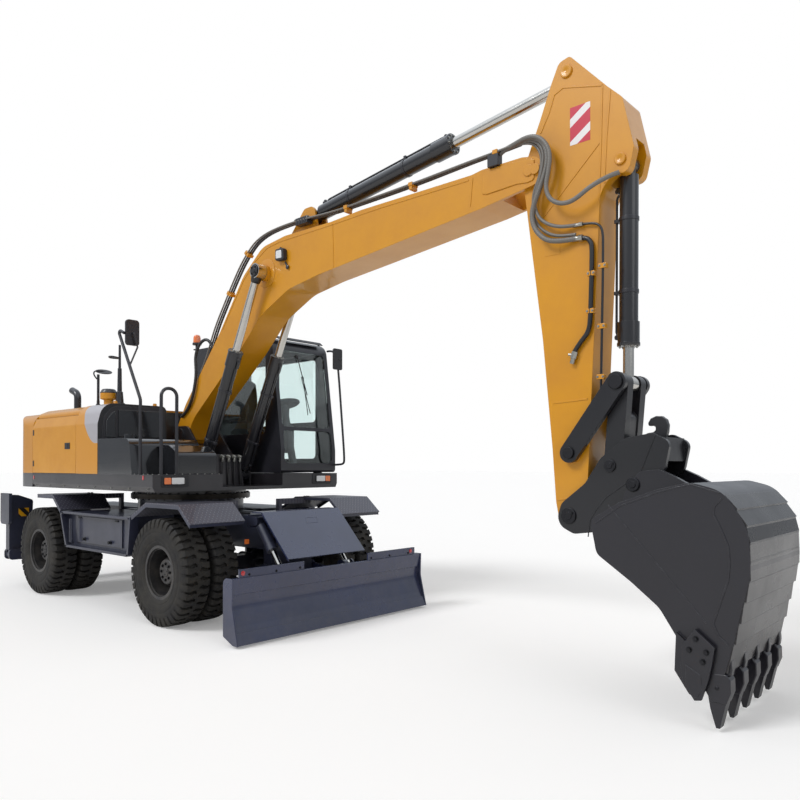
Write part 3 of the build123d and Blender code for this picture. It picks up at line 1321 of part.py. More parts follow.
# Boom
BOOM_SIDE = [
    (BOOM_FOOT[0] - 100, BOOM_FOOT[1] - 100, 98),
    (BOOM_FOOT[0] + 100, BOOM_FOOT[1] - 100, 98),
    (243, 2065, 600),
    (1212, 2818, 400),
    (1600, 3170, 700),
    (2051, 3375, 600),
    (2500, 3445, 900),
    (3070, 3500, 0),
    (4476, 3640, 0),
    (5010, 3715, 90),
    (5040, 3905, 100),
    (4850, 3945, 60),
    (4470, 3950, 80),
    (4372, 3935, 200),
    (3100, 3945, 900),
    (2690, 3925, 0),
    (1995, 3935, 300),
    (1620, 3890, 300),
    (1290, 3640, 500),
    (845, 3070, 0),
    (150, 2300, 500),
    (-30, 2035, 80),
]


def boom():
    """Welded box boom with its tip fork, foot boss, cylinder cross tube and top bracket."""
    body = prism(BOOM_SIDE, "y", -BOOM_HALF_WIDTH, BOOM_HALF_WIDTH)
    fork_side = [(4510, 4100, 0), (4570, 3800, 60), (4760, 3500, 0), (5300, 3400, 0), (5300, 4100, 0)]
    fork = prism(fork_side, "y", -ARM_HALF_WIDTH - RUNNING_GAP, ARM_HALF_WIDTH + RUNNING_GAP)
    body = cut(body, fork)[0]
    hole = cross_pin(BOOM_FOOT, -400, 400, 45 + PIN_FIT)
    boss = cross_pin(
        BOOM_CYLINDER_EYE, -BOOM_CYLINDER_Y + EYE_HALF_WIDTH + RUNNING_GAP,
        BOOM_CYLINDER_Y - EYE_HALF_WIDTH - RUNNING_GAP, 85,
    )
    ears = []
    x, z = ARM_CYLINDER_FOOT
    for side in (1, -1):
        low, high = sorted(
            (side * (EYE_HALF_WIDTH + RUNNING_GAP), side * (EYE_HALF_WIDTH + RUNNING_GAP + 26)),
        )
        ears.append(
            prism(
                [(x - 330, 3920, 0), (x + 130, 3920, 0), (x + 75, z + 75, 70), (x - 75, z + 75, 70)],
                "y", low, high,
            ),
        )
    foot_pin = cross_pin(ARM_CYLINDER_FOOT, -EYE_HALF_WIDTH - 30, EYE_HALF_WIDTH + 30, 32)
    tip_pin = cross_pin(BOOM_TIP, -BOOM_HALF_WIDTH - 20, BOOM_HALF_WIDTH + 20, 40)
    return cut(fuse(body, boss, *ears, foot_pin, tip_pin)[0], hole)


def boom_barrels():
    one = barrel(
        BOOM_CYLINDER_FOOT, BOOM_CYLINDER_EYE, BOOM_CYLINDER_Y, BOOM_BARREL_RADIUS,
        BOOM_BARREL_LENGTH, BOOM_ROD_RADIUS + PIN_FIT, EYE_HALF_WIDTH, 70, 34 + PIN_FIT, 100,
    )
    return both_sides(one)


def boom_rods():
    one = piston_rod(
        BOOM_CYLINDER_FOOT, BOOM_CYLINDER_EYE, BOOM_CYLINDER_Y, BOOM_ROD_RADIUS, 800, EYE_HALF_WIDTH,
        78,
    )
    return both_sides(one)


def arm_barrel():
    return barrel(
        ARM_CYLINDER_FOOT, ARM_CYLINDER_EYE, 0, ARM_BARREL_RADIUS, ARM_BARREL_LENGTH,
        ARM_ROD_RADIUS + PIN_FIT, EYE_HALF_WIDTH, 68, 32 + PIN_FIT, 120,
    )


def arm_rod():
    return piston_rod(ARM_CYLINDER_FOOT, ARM_CYLINDER_EYE, 0, ARM_ROD_RADIUS, 1040, EYE_HALF_WIDTH, 72)


# Arm
ARM_SIDE = [
    (ARM_TIP[0] - 95, ARM_TIP[1] - 90, 90),
    (ARM_TIP[0] + 95, ARM_TIP[1] - 90, 90),
    (5375, 1400, 200),
    (5450, 2900, 500),
    (5480, 3560, 200),
    (5600, 3640, 40),
    (5690, 3600, 60),
    (5735, 3790, 70),
    (5650, 4160, 60),
    (5540, 4270, 60),
    (5240, 4600, 40),
    (5150, 4580, 60),
    (5085, 4440, 100),
    (4990, 4200, 0),
    (4860, 3900, 0),
    (4850, 3690, 130),
    (5010, 2520, 0),
    (5090, 1700, 300),
    (5120, 1300, 200),
]


def arm():
    body = prism(ARM_SIDE, "y", -ARM_HALF_WIDTH, ARM_HALF_WIDTH)
    hole = cross_pin(BOOM_TIP, -300, 300, 40 + PIN_FIT)
    rod_room = prism(
        [(4700, 4180, 0), (5330, 4300, 60), (5600, 4420, 0), (5600, 4700, 0), (4700, 4800, 0)], "y",
        -EYE_HALF_WIDTH - RUNNING_GAP, EYE_HALF_WIDTH + RUNNING_GAP,
    )
    barrel_room = prism(
        [(5520, 3500, 0), (5900, 3500, 0), (5900, 3900, 0), (5540, 3850, 60)], "y",
        -EYE_HALF_WIDTH - 18, EYE_HALF_WIDTH + 18,
    )
    tip_hole = cross_pin(ARM_TIP, -300, 300, 38 + PIN_FIT)
    pin = cross_pin(BUCKET_CYLINDER_FOOT, -ARM_HALF_WIDTH, ARM_HALF_WIDTH, 30)
    rocker_boss = cross_pin(ROCKER_PIN, -ARM_HALF_WIDTH - 12, ARM_HALF_WIDTH + 12, 70)
    rocker_pin = cross_pin(ROCKER_PIN, -ARM_HALF_WIDTH - 66, ARM_HALF_WIDTH + 66, 32)
    solids = cut(body, rod_room, barrel_room)
    return cut(fuse(solids[0], pin, rocker_boss, rocker_pin)[0], hole, tip_hole)


def bucket_barrel():
    return barrel(
        BUCKET_CYLINDER_FOOT, BUCKET_CYLINDER_EYE, 0, BUCKET_BARREL_RADIUS, BUCKET_BARREL_LENGTH,
        BUCKET_ROD_RADIUS + PIN_FIT, EYE_HALF_WIDTH, 58, 30 + PIN_FIT, 80,
    )


def bucket_rod():
    return piston_rod(
        BUCKET_CYLINDER_FOOT, BUCKET_CYLINDER_EYE, 0, BUCKET_ROD_RADIUS, 115, EYE_HALF_WIDTH, 60,
    )


def capsule_link(first, second, radius, low, high):
    """Flat link with round ends between two pins."""
    way = Vector(second[0] - first[0], second[1] - first[1]).normalized()
    across = Vector(-way.Y, way.X)
    corners = []
    for place, ahead, sides in ((first, -1, (1, -1)), (second, 1, (-1, 1))):
        for side in sides:
            spot = Vector(place[0], place[1]) + way * (ahead * radius) + across * (side * radius)
            corners.append((spot.X, spot.Y, radius * 0.98))
    return prism(corners, "y", low, high)


ROCKER_INNER_Y = ARM_HALF_WIDTH + 12 + RUNNING_GAP
ROCKER_THICKNESS = 42
POWER_LINK_INNER_Y = 64


def rocker_links():
    """One link each side of the arm, each with its stub of the upper pin."""
    low = ROCKER_INNER_Y
    high = ROCKER_INNER_Y + ROCKER_THICKNESS
    link = capsule_link(ROCKER_PIN, BUCKET_CYLINDER_EYE, 72, low, high)
    link = cut(link, cross_pin(ROCKER_PIN, low - 1, high + 1, 32 + PIN_FIT))[0]
    stub = cross_pin(BUCKET_CYLINDER_EYE, POWER_LINK_INNER_Y - 3, high + 12, 29)
    return both_sides(fuse(link, stub))


def power_link():
    plates = []
    for side in (1, -1):
        low, high = sorted((side * POWER_LINK_INNER_Y, side * (ARM_HALF_WIDTH + 6)))
        plates.append(capsule_link(BUCKET_CYLINDER_EYE, LINK_LOWER_PIN, 68, low, high))
    web = capsule_link(
        along(BUCKET_CYLINDER_EYE, LINK_LOWER_PIN, 250),
        along(BUCKET_CYLINDER_EYE, LINK_LOWER_PIN, 420), 60, -70, 70,
    )
    eye = cross_pin(LINK_LOWER_PIN, -ARM_HALF_WIDTH - 6, ARM_HALF_WIDTH + 6, 66)
    body = fuse(*plates, web, eye)[0]
    return cut(body, cross_pin(BUCKET_CYLINDER_EYE, -300, 300, 29 + PIN_FIT))


COUPLER_INNER_Y = ARM_HALF_WIDTH + 12


def quick_coupler():
    """Two cheek plates on the arm's tip with a hook and a rear block between them."""
    cheek = [
        (ARM_TIP[0] - 110, ARM_TIP[1] - 60, 100),
        (ARM_TIP[0] + 40, ARM_TIP[1] - 130, 80),
        (5560, 1110, 40),
        (5640, 1280, 60),
        (5960, 1540, 60),
        (6000, 1730, 60),
        (5880, 1790, 40),
        (5680, 1760, 120),
        (5500, 1620, 120),
        (5380, 1440, 120),
        (ARM_TIP[0] - 60, ARM_TIP[1] + 90, 90),
    ]
    pieces = []
    for side in (1, -1):
        low, high = sorted((side * COUPLER_INNER_Y, side * (COUPLER_INNER_Y + 36)))
        pieces.append(prism(cheek, "y", low, high))
    bridge = block((5800, 5960), (-COUPLER_INNER_Y - 5, COUPLER_INNER_Y + 5), (1600, 1760))
    tip_pin = cross_pin(ARM_TIP, -COUPLER_INNER_Y - 42, COUPLER_INNER_Y + 42, 38)
    heads = []
    for side in (1, -1):
        low, high = sorted((side * (COUPLER_INNER_Y + 30), side * (COUPLER_INNER_Y + 48)))
        heads.append(cross_pin(LINK_LOWER_PIN, low, high, 42))
    hook = prism(
        [
            (5830, 1750, 0), (5890, 1750, 0), (5890, 1880, 0), (5800, 1880, 0), (5800, 1850, 0),
            (5830, 1840, 0),
        ],
        "y", -18, 18,
    )
    return fuse(*pieces, bridge, tip_pin, *heads, hook)


# Bucket
BUCKET_PROFILE = [
    (5601, 1210, 60),
    (5800, 1330, 0),
    (6050, 1420, 200),
    (6257, 1470, 200),
    (6450, 1420, 200),
    (6590, 1200, 300),
    (6600, 950, 300),
    (6500, 520, 200),
    (6440, 300, 0),
    (6380, 280, 0),
    (6190, 500, 200),
    (6065, 690, 200),
    (5883, 830, 200),
    (5646, 990, 80),
]
BUCKET_WALL = 18


def bucket():
    """Open bucket: shell of one plate, cut open towards the machine, with teeth and cutters."""
    outer = prism(BUCKET_PROFILE, "y", -BUCKET_HALF_WIDTH, BUCKET_HALF_WIDTH)
    wall = BUCKET_WALL
    inner = [
        (5560, 1100, 0),
        (5640, 1190, 40),
        (5810, 1300, 0),
        (6060, 1398, 180),
        (6257, 1448, 180),
        (6435, 1402, 180),
        (6570, 1195, 280),
        (6580, 952, 280),
        (6480, 524, 180),
        (6425, 318, 0),
        (6350, 200, 0),
        (6000, 400, 0),
    ]
    hollow = prism(inner, "y", -BUCKET_HALF_WIDTH + wall, BUCKET_HALF_WIDTH - wall)
    shell = cut(outer, hollow)[0]
    pieces = [shell]
    ear_low = COUPLER_INNER_Y + 36 + FIT
    for side in (1, -1):
        low, high = sorted((side * ear_low, side * (ear_low + 40)))
        ear = prism(
            [
                (5640, 1215, 0), (6150, 1440, 0), (6040, 1500, 60), (5940, 1545, 60),
                (5800, 1530, 70), (5700, 1380, 60),
            ],
            "y", low, high,
        )
        pieces.append(ear)
    for index in range(TOOTH_COUNT):
        y = (index - (TOOTH_COUNT - 1) / 2) * TOOTH_SPACING
        tooth = prism(
            [
                (6340, 335, 0),
                (6455, 345, 0),
                (6478, 250, 0),
                (TOOTH_TIP[0] + 40, TOOTH_TIP[1] + 110, 0),
                (TOOTH_TIP[0] + 14, TOOTH_TIP[1], 0),
                (TOOTH_TIP[0] - 8, TOOTH_TIP[1], 0),
                (TOOTH_TIP[0] - 40, TOOTH_TIP[1] + 110, 0),
                (6352, 230, 0),
            ],
            "y",
            y - TOOTH_HALF_WIDTH,
            y + TOOTH_HALF_WIDTH,
        )
        pieces.append(tooth)
    for side in (1, -1):
        low, high = sorted((side * (BUCKET_HALF_WIDTH - 2), side * (BUCKET_HALF_WIDTH + 28)))
        cutter = prism(
            [
                (6180, 560, 0), (6280, 480, 0), (6330, 380, 0), (6330, 200, 20), (6260, 200, 20),
                (6170, 330, 0),
            ],
            "y", low, high,
        )
        pieces.append(cutter)
    return fuse(*pieces)


def build_all():
    os.makedirs("parts", exist_ok=True)
    save("undercarriage_frame", undercarriage_frame())
    save("slewing_ring", slewing_ring())
    save("front_axle", front_axle())
    save("rear_axle", rear_axle())
    save("gearbox_and_shafts", driveline())
    save("toolboxes", toolbox(1), toolbox(-1))
    save("fenders", fenders())
    save("blade_guard", blade_guard())
    for name, side in (("left", 1), ("right", -1)):
        save(f"steering_knuckle_{name}", steering_knuckle(side))
        save(f"toolbox_door_{name}", toolbox_door(side))
        save(f"stabiliser_leg_{name}", stabiliser_leg(side))
        save(f"leg_barrel_{name}", leg_cylinder_barrel(side))
        save(f"leg_rod_{name}", leg_cylinder_rod(side))
        for end, axle_x in (("front", FRONT_AXLE_X), ("rear", REAR_AXLE_X)):
            save(f"tyres_{end}_{name}", tyre_pair(axle_x, side))
            save(f"rims_{end}_{name}", rim_pair(axle_x, side))
    save("dozer_blade", dozer_blade())
    blade_barrel = barrel(
        BLADE_CYLINDER_TOP, BLADE_CYLINDER_FOOT, BLADE_CYLINDER_Y, BLADE_BARREL_RADIUS,
        BLADE_BARREL_LENGTH, BLADE_ROD_RADIUS + PIN_FIT,
        29, 42, 22 + PIN_FIT, 62, 1.2,
    )
    save("blade_barrels", both_sides(blade_barrel))
    blade_rod = piston_rod(
        BLADE_CYLINDER_TOP, BLADE_CYLINDER_FOOT, BLADE_CYLINDER_Y, BLADE_ROD_RADIUS, BLADE_ROD_START,
        26, 42,
    )
    save("blade_rods", both_sides(blade_rod))
    save("house_frame", house_frame())
    save("counterweight", counterweight())
    save("engine_block", engine_block())
    save("engine_bay_walls", engine_bay())
    save("hood_front_box", front_box())
    save("side_door_right", side_door(-1))
    save("side_door_left", side_door(1))
    save("hood_lid", hood_lid())
    save("exhaust_stack", exhaust_stack())
    save("air_cleaner", air_cleaner())
    save("fuel_tank", fuel_tank())
    save("handrails", handrails(), mirror_right())
    save("cab_shell", cab_shell())
    save("cab_glass", cab_glass())
    save("cab_interior", cab_interior())
    save("cab_door", cab_door())
    save("door_glass", door_glass())
    save("boom", boom())
    save("boom_barrels", boom_barrels())
    save("boom_rods", boom_rods())
    save("arm", arm())
    save("arm_barrel", arm_barrel())
    save("arm_rod", arm_rod())
    save("rocker_links", rocker_links())
    save("power_link", power_link())
    save("quick_coupler", quick_coupler())
    save("bucket", bucket())
    save("bucket_barrel", bucket_barrel())
    save("bucket_rod", bucket_rod())


build_all()
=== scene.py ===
import math
import bmesh
import bpy
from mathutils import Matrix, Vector
from mathutils.bvhtree import BVHTree


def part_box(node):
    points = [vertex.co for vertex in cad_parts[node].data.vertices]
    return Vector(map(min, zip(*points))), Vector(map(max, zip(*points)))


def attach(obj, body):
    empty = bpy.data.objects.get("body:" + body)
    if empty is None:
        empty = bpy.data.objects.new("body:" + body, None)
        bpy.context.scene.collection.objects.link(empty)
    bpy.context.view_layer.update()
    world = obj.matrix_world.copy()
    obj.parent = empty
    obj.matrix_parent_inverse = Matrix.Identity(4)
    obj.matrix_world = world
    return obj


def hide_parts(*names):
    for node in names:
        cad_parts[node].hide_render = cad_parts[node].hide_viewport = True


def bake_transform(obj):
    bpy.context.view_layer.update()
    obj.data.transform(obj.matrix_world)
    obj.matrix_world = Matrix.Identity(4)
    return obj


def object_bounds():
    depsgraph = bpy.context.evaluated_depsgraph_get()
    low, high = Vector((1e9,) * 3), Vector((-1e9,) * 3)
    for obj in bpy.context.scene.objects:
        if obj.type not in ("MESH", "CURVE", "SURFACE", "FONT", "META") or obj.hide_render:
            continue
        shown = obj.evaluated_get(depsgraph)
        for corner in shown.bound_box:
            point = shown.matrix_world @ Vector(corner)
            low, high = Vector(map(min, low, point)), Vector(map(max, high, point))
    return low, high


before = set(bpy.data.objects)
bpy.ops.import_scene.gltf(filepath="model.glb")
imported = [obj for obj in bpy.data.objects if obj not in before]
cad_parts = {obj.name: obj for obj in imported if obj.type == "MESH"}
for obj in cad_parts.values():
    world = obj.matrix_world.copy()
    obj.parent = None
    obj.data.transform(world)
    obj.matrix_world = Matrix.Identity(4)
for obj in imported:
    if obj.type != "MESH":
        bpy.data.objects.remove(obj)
cad_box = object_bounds()
scene = bpy.context.scene

# The machine is drawn in millimetres from its slewing axis; the frame's origin lies ahead of it.
MIDDLE_X = 2.01925
# Height of the deck line in metres, where the counterweight turns yellow
DECK_LINE = 1.477
SIDES = (1, -1)


def at(x, y, z):
    return Vector((x / 1000 - MIDDLE_X, y / 1000, z / 1000))


# Camera at the photograph's place
camera = bpy.data.objects.new("camera", bpy.data.cameras.new("camera"))
scene.collection.objects.link(camera)
scene.camera = camera
AZIMUTH = math.radians(131.532)
ELEVATION = math.radians(0.585)
look = Vector((
    math.cos(AZIMUTH) * math.cos(ELEVATION),
    math.sin(AZIMUTH) * math.cos(ELEVATION),
    math.sin(ELEVATION),
))
camera.location = (5.86475, -4.981, 1.570)
camera.rotation_euler = look.to_track_quat("-Z", "Y").to_euler()
camera.data.lens = 32.86
camera.data.sensor_width = 36
camera.data.shift_x = -0.0047
camera.data.shift_y = 0.0725
camera.data.clip_end = 300


# Shader tools
def linear(code):
    """sRGB hex to linear colour."""
    values = [int(code[i:i + 2], 16) / 255 for i in (1, 3, 5)]
    return (*[v / 12.92 if v <= 0.04045 else ((v + 0.055) / 1.055) ** 2.4 for v in values], 1)


def wire(node, inputs):
    """Links each socket from a node or a socket, or gives it a value; a hex code is an sRGB colour."""
    for key, value in inputs.items():
        if isinstance(value, bpy.types.Node):
            value = next(socket for socket in value.outputs if socket.enabled)
        if isinstance(value, bpy.types.NodeSocket):
            node.id_data.links.new(value, node.inputs[key])
        else:
            node.inputs[key].default_value = linear(value) if isinstance(value, str) else value


def add(tree, kind, inputs=None, **settings):
    """One node with its settings and what goes into it; a shader node's kind is given without its prefix."""
    node = tree.nodes.new(kind if "Node" in kind else "ShaderNode" + kind)
    for name, value in settings.items():
        setattr(node, name, value)
    wire(node, inputs or {})
    return node


def new_material(name):
    """Material with its tree, its surface shader and the place that its patterns follow."""
    material = bpy.data.materials.new(name)
    material.use_nodes = True
    tree = material.node_tree
    tree.nodes.clear()
    surface = add(tree, "BsdfPrincipled")
    add(tree, "OutputMaterial", {0: surface})
    return material, tree, surface, add(tree, "TexCoord").outputs["Object"]


def paint(name, base, shade, roughness, coat, edge, edge_share, peel=0.05, radius=0.004, dust=0.0):
    """Sprayed machine enamel: faint orange peel, soft clouds, light worn plate edges, road dust low down."""
    material, tree, surface, place = new_material(name)
    cloud = add(tree, "TexNoise", {"Vector": place, "Scale": 2.2, "Detail": 5.0, "Roughness": 0.6})
    ramp = add(tree, "MapRange", {"Value": cloud, 1: 0.35, 2: 0.68})
    colour = add(tree, "Mix", {0: ramp, 6: base, 7: shade}, data_type="RGBA")
    round_edge = add(tree, "Bevel", {"Radius": radius}, samples=4)
    flat = add(tree, "NewGeometry").outputs["Normal"]
    facing = add(tree, "VectorMath", {0: round_edge, 1: flat}, operation="DOT_PRODUCT")
    turned_away = add(tree, "MapRange", {"Value": facing, 1: 0.995, 2: 0.86})
    chips = add(tree, "TexNoise", {"Vector": place, "Scale": 26.0, "Detail": 4.0})
    chip_ramp = add(tree, "MapRange", {"Value": chips, 1: 0.42, 2: 0.66})
    worn = add(tree, "Math", {0: turned_away, 1: chip_ramp}, operation="MULTIPLY")
    worn = add(tree, "Math", {0: worn, 1: edge_share}, operation="MULTIPLY")
    colour = add(tree, "Mix", {0: worn, 6: colour, 7: edge}, data_type="RGBA")
    if dust > 0:
        height = add(tree, "SeparateXYZ", {0: place}).outputs["Z"]
        low = add(tree, "MapRange", {"Value": height, 1: 1.1, 2: 0.0, 3: 0.0, 4: dust})
        grime = add(tree, "TexNoise", {"Vector": place, "Scale": 7.0, "Detail": 8.0, "Roughness": 0.7})
        grime_ramp = add(tree, "MapRange", {"Value": grime, 1: 0.38, 2: 0.72})
        share = add(tree, "Math", {0: low, 1: grime_ramp}, operation="MULTIPLY")
        colour = add(tree, "Mix", {0: share, 6: colour, 7: "#8d8478"}, data_type="RGBA")
    orange = add(tree, "TexNoise", {"Vector": place, "Scale": 130.0, "Detail": 2.0})
    bump = add(tree, "Bump", {"Height": orange, "Strength": peel, "Distance": 0.002, "Normal": round_edge})
    low, high = roughness - 0.05, roughness + 0.1
    matt = add(tree, "MapRange", {"Value": cloud, 1: 0.3, 2: 0.75, 3: low, 4: high})
    wire(surface, {
        "Base Color": colour, "Roughness": matt, "Normal": bump,
        "Coat Weight": coat, "Coat Roughness": 0.09, "IOR": 1.5,
    })
    return material


# Two-coat polyurethane enamel, sprayed: deep warm yellow with a clear gloss
yellow_enamel = paint("yellow_machine_enamel", "#d4920a", "#c98708", 0.36, 0.45, "#e2b457", 0.4)
# The same enamel in slate grey on the frame and blade, with a painted bluish sky reflection in its colour;
# dusty near the ground
slate_enamel_sky_painted = paint("slate_frame_enamel_painted_sky", "#2f3347", "#282b3a", 0.4, 0.4, "#747989", 0.5, dust=0.14)
# The blade and its guard in a bluer, glossier coat of the same slate enamel; the extra blue is a painted
# reflection of the sky
blade_enamel_sky_painted = paint("gloss_slate_blade_enamel_painted_sky", "#293152", "#242b46", 0.28, 0.7, "#747b96", 0.5, dust=0.1)
# Satin near-black enamel on the cab and on the engine bay, axles and rails
black_enamel = paint("satin_black_enamel", "#222229", "#1c1c22", 0.38, 0.35, "#5d5e66", 0.45)
# Black stoved enamel of the cylinders: smooth and glossier
cylinder_enamel = paint("black_cylinder_enamel", "#1b1b20", "#16161a", 0.28, 0.6, "#5b5c60", 0.4, peel=0.02)
# Thick black enamel on the bucket, scuffed along each plate edge
bucket_enamel = paint("scuffed_bucket_enamel", "#1d1c24", "#18171e", 0.36, 0.3, "#77787e", 0.6, peel=0.08)
# The same enamel on the bucket's wear plates, rubbed smooth and brownish by soil
wear_enamel = paint("rubbed_wear_plate_enamel", "#1e1a1c", "#151316", 0.26, 0.2, "#98979a", 0.8, peel=0.004)
# Thick black enamel on the castings of the arm's end
casting_enamel = paint("black_casting_enamel", "#18181d", "#131317", 0.36, 0.3, "#5a5b60", 0.45)
# Charcoal enamel of the deck and its skirt
charcoal_enamel = paint("charcoal_deck_enamel", "#2b292e", "#232226", 0.36, 0.4, "#6b696d", 0.5)
# Deep gloss black on the fuel tank and the hood's front
gloss_black = paint("gloss_black_enamel", "#15161b", "#111216", 0.14, 0.9, "#50525a", 0.4, 0.003, 0.008)
# Black wheel enamel, dulled by road dust
rim_enamel = paint("dusty_wheel_enamel", "#26272b", "#2d2c2c", 0.5, 0.15, "#5d5c5c", 0.4, dust=0.35)


def counterweight_enamel():
    """Enamelled cast counterweight: yellow above the deck line, slate below it, on a coarse cast skin."""
    material, tree, surface, place = new_material("two_colour_cast_enamel")
    height = add(tree, "SeparateXYZ", {0: place}).outputs["Z"]
    above = add(tree, "Math", {0: height, 1: DECK_LINE}, operation="GREATER_THAN")
    cloud = add(tree, "TexNoise", {"Vector": place, "Scale": 2.2, "Detail": 5.0})
    upper = add(tree, "Mix", {0: cloud, 6: "#cf8c0a", 7: "#c48208"}, data_type="RGBA")
    lower = add(tree, "Mix", {0: cloud, 6: "#3a3a40", 7: "#313136"}, data_type="RGBA")
    both = add(tree, "Mix", {0: above, 6: lower, 7: upper}, data_type="RGBA")
    grain = add(tree, "TexNoise", {"Vector": place, "Scale": 45.0, "Detail": 3.0})
    round_edge = add(tree, "Bevel", {"Radius": 0.012}, samples=4)
    bump = add(tree, "Bump", {"Height": grain, "Strength": 0.12, "Distance": 0.003, "Normal": round_edge})
    wire(surface, {
        "Base Color": both, "Normal": bump, "Roughness": 0.4, "Coat Weight": 0.5, "Coat Roughness": 0.1,
    })
    return material


def corner_enamel():
    """Enamelled front box of the hood: yellow, a silver panel with a curved edge, and the black front."""
    material, tree, surface, place = new_material("three_colour_hood_enamel")
    split = add(tree, "SeparateXYZ", {0: place}).outputs
    # the silver panel's edge runs from the seam at the top down to the front corner in a curve
    drop = add(tree, "MapRange", {"Value": split["Z"], 1: 1.81, 2: 2.26, 3: 0.0, 4: 1.0})
    curve = add(tree, "Math", {0: drop, 1: 0.42}, operation="POWER")
    low, high = 0.104 - MIDDLE_X, -0.300 - MIDDLE_X
    edge_x = add(tree, "MapRange", {"Value": curve, 1: 0.0, 2: 1.0, 3: low, 4: high})
    silver = add(tree, "Math", {0: split["X"], 1: edge_x}, operation="GREATER_THAN")
    above = add(tree, "Math", {0: split["Z"], 1: 1.815}, operation="GREATER_THAN")
    silver = add(tree, "Math", {0: silver, 1: above}, operation="MULTIPLY")
    front = add(tree, "Math", {0: split["X"], 1: 0.112 - MIDDLE_X}, operation="GREATER_THAN")
    colour = add(tree, "Mix", {0: silver, 6: "#cf8c0a", 7: "#b9b6bb"}, data_type="RGBA")
    colour = add(tree, "Mix", {0: front, 6: colour, 7: "#232327"}, data_type="RGBA")
    peel = add(tree, "TexNoise", {"Vector": place, "Scale": 130.0, "Detail": 2.0})
    round_edge = add(tree, "Bevel", {"Radius": 0.01}, samples=4)
    bump = add(tree, "Bump", {"Height": peel, "Strength": 0.05, "Distance": 0.002, "Normal": round_edge})
    metal = add(tree, "Math", {0: silver, 1: 0.35}, operation="MULTIPLY")
    wire(surface, {
        "Base Color": colour, "Metallic": metal, "Normal": bump, "Roughness": 0.36, "Coat Weight": 0.5,
        "Coat Roughness": 0.1,
    })
    return material


def cleaner_enamel():
    """Enamelled air cleaner: yellow spun body, faintly ringed, below its black plastic rain cap."""
    material, tree, surface, place = new_material("air_cleaner_enamel")
    height = add(tree, "SeparateXYZ", {0: place}).outputs["Z"]
    cap = add(tree, "Math", {0: height, 1: 2.4}, operation="GREATER_THAN")
    colour = add(tree, "Mix", {0: cap, 6: "#cf8c0a", 7: "#2a2a2d"}, data_type="RGBA")
    rings = add(tree, "TexWave", {"Vector": place, "Scale": 26.0}, bands_direction="Z").outputs["Fac"]
    bump = add(tree, "Bump", {"Height": rings, "Strength": 0.1, "Distance": 0.002})
    wire(surface, {"Base Color": colour, "Normal": bump, "Roughness": 0.4, "Coat Weight": 0.3})
    return material


def chequer_plate():
    """Rolled steel tread plate, enamelled slate with a painted bluish sky reflection in its colour: raised
    lozenges 26 mm long, along and across by turns.
    """
    material, tree, surface, place = new_material("enamelled_chequer_plate")
    turn = add(tree, "Mapping", {0: place, 2: (0, 0, math.radians(45)), 3: (32, 32, 32)})
    split = add(tree, "SeparateXYZ", {0: turn})
    cells = []
    away = []
    for way in ("X", "Y"):
        cells.append(add(tree, "Math", {0: split.outputs[way]}, operation="FLOOR"))
        within = add(tree, "Math", {0: split.outputs[way]}, operation="FRACT")
        within = add(tree, "Math", {0: within, 1: 0.5}, operation="SUBTRACT")
        away.append(add(tree, "Math", {0: within}, operation="ABSOLUTE"))
    odd = add(tree, "Math", {0: cells[0], 1: cells[1]}, operation="ADD")
    odd = add(tree, "Math", {0: odd, 1: 0.5}, operation="MULTIPLY")
    odd = add(tree, "Math", {0: odd}, operation="FRACT")
    odd = add(tree, "Math", {0: odd, 1: 0.25}, operation="GREATER_THAN")
    lozenges = []
    for long_way, short_way in (away, away[::-1]):
        far = add(tree, "Math", {0: long_way, 1: 1.15}, operation="MULTIPLY")
        near = add(tree, "Math", {0: short_way, 1: 3.4, 2: far}, operation="MULTIPLY_ADD")
        lozenges.append(add(tree, "MapRange", {"Value": near, 1: 0.52, 2: 0.36}))
    raised = add(tree, "Mix", {0: odd, 2: lozenges[0], 3: lozenges[1]})
    cloud = add(tree, "TexNoise", {"Vector": place, "Scale": 5.0, "Detail": 6.0})
    share = add(tree, "Math", {0: raised, 1: 0.45}, operation="MULTIPLY")
    # dark grey enamel tones with a painted bluish sky reflection mixed in
    base = add(tree, "Mix", {0: cloud, 6: "#3b3b47", 7: "#474754"}, data_type="RGBA")
    colour = add(tree, "Mix", {0: share, 6: base, 7: "#8d8c96"}, data_type="RGBA")
    bump = add(tree, "Bump", {"Height": raised, "Strength": 0.6, "Distance": 0.003})
    wire(surface, {"Base Color": colour, "Normal": bump, "Roughness": 0.42, "Coat Weight": 0.3})
    return material


def tyre_rubber():
    """Carbon-black rubber, moulded: matt, greyed by dust in the grooves and on the side wall."""
    material, tree, surface, place = new_material("moulded_tyre_rubber")
    patch = add(tree, "TexNoise", {"Vector": place, "Scale": 6.0, "Detail": 8.0, "Roughness": 0.7})
    share = add(tree, "MapRange", {"Value": patch, 1: 0.35, 2: 0.75})
    colour = add(tree, "Mix", {0: share, 6: "#1e1d1e", 7: "#38352f"}, data_type="RGBA")
    fine = add(tree, "TexNoise", {"Vector": place, "Scale": 180.0, "Detail": 3.0})
    bump = add(tree, "Bump", {"Height": fine, "Strength": 0.25, "Distance": 0.002})
    wire(surface, {"Base Color": colour, "Normal": bump, "Roughness": 0.72, "Specular IOR Level": 0.35})
    return material


def hard_chrome():
    """Ground and polished hard chrome on the rods, with fine lengthwise polish and a film of oil."""
    material, tree, surface, place = new_material("hard_chrome")
    film = add(tree, "TexNoise", {"Vector": place, "Scale": 9.0, "Detail": 6.0})
    matt = add(tree, "MapRange", {"Value": film, 1: 0.3, 2: 0.7, 3: 0.1, 4: 0.2})
    colour = add(tree, "Mix", {0: film, 6: "#d8d5cf", 7: "#c3bfb8"}, data_type="RGBA")
    wire(surface, {"Base Color": colour, "Roughness": matt, "Metallic": 1.0})
    return material


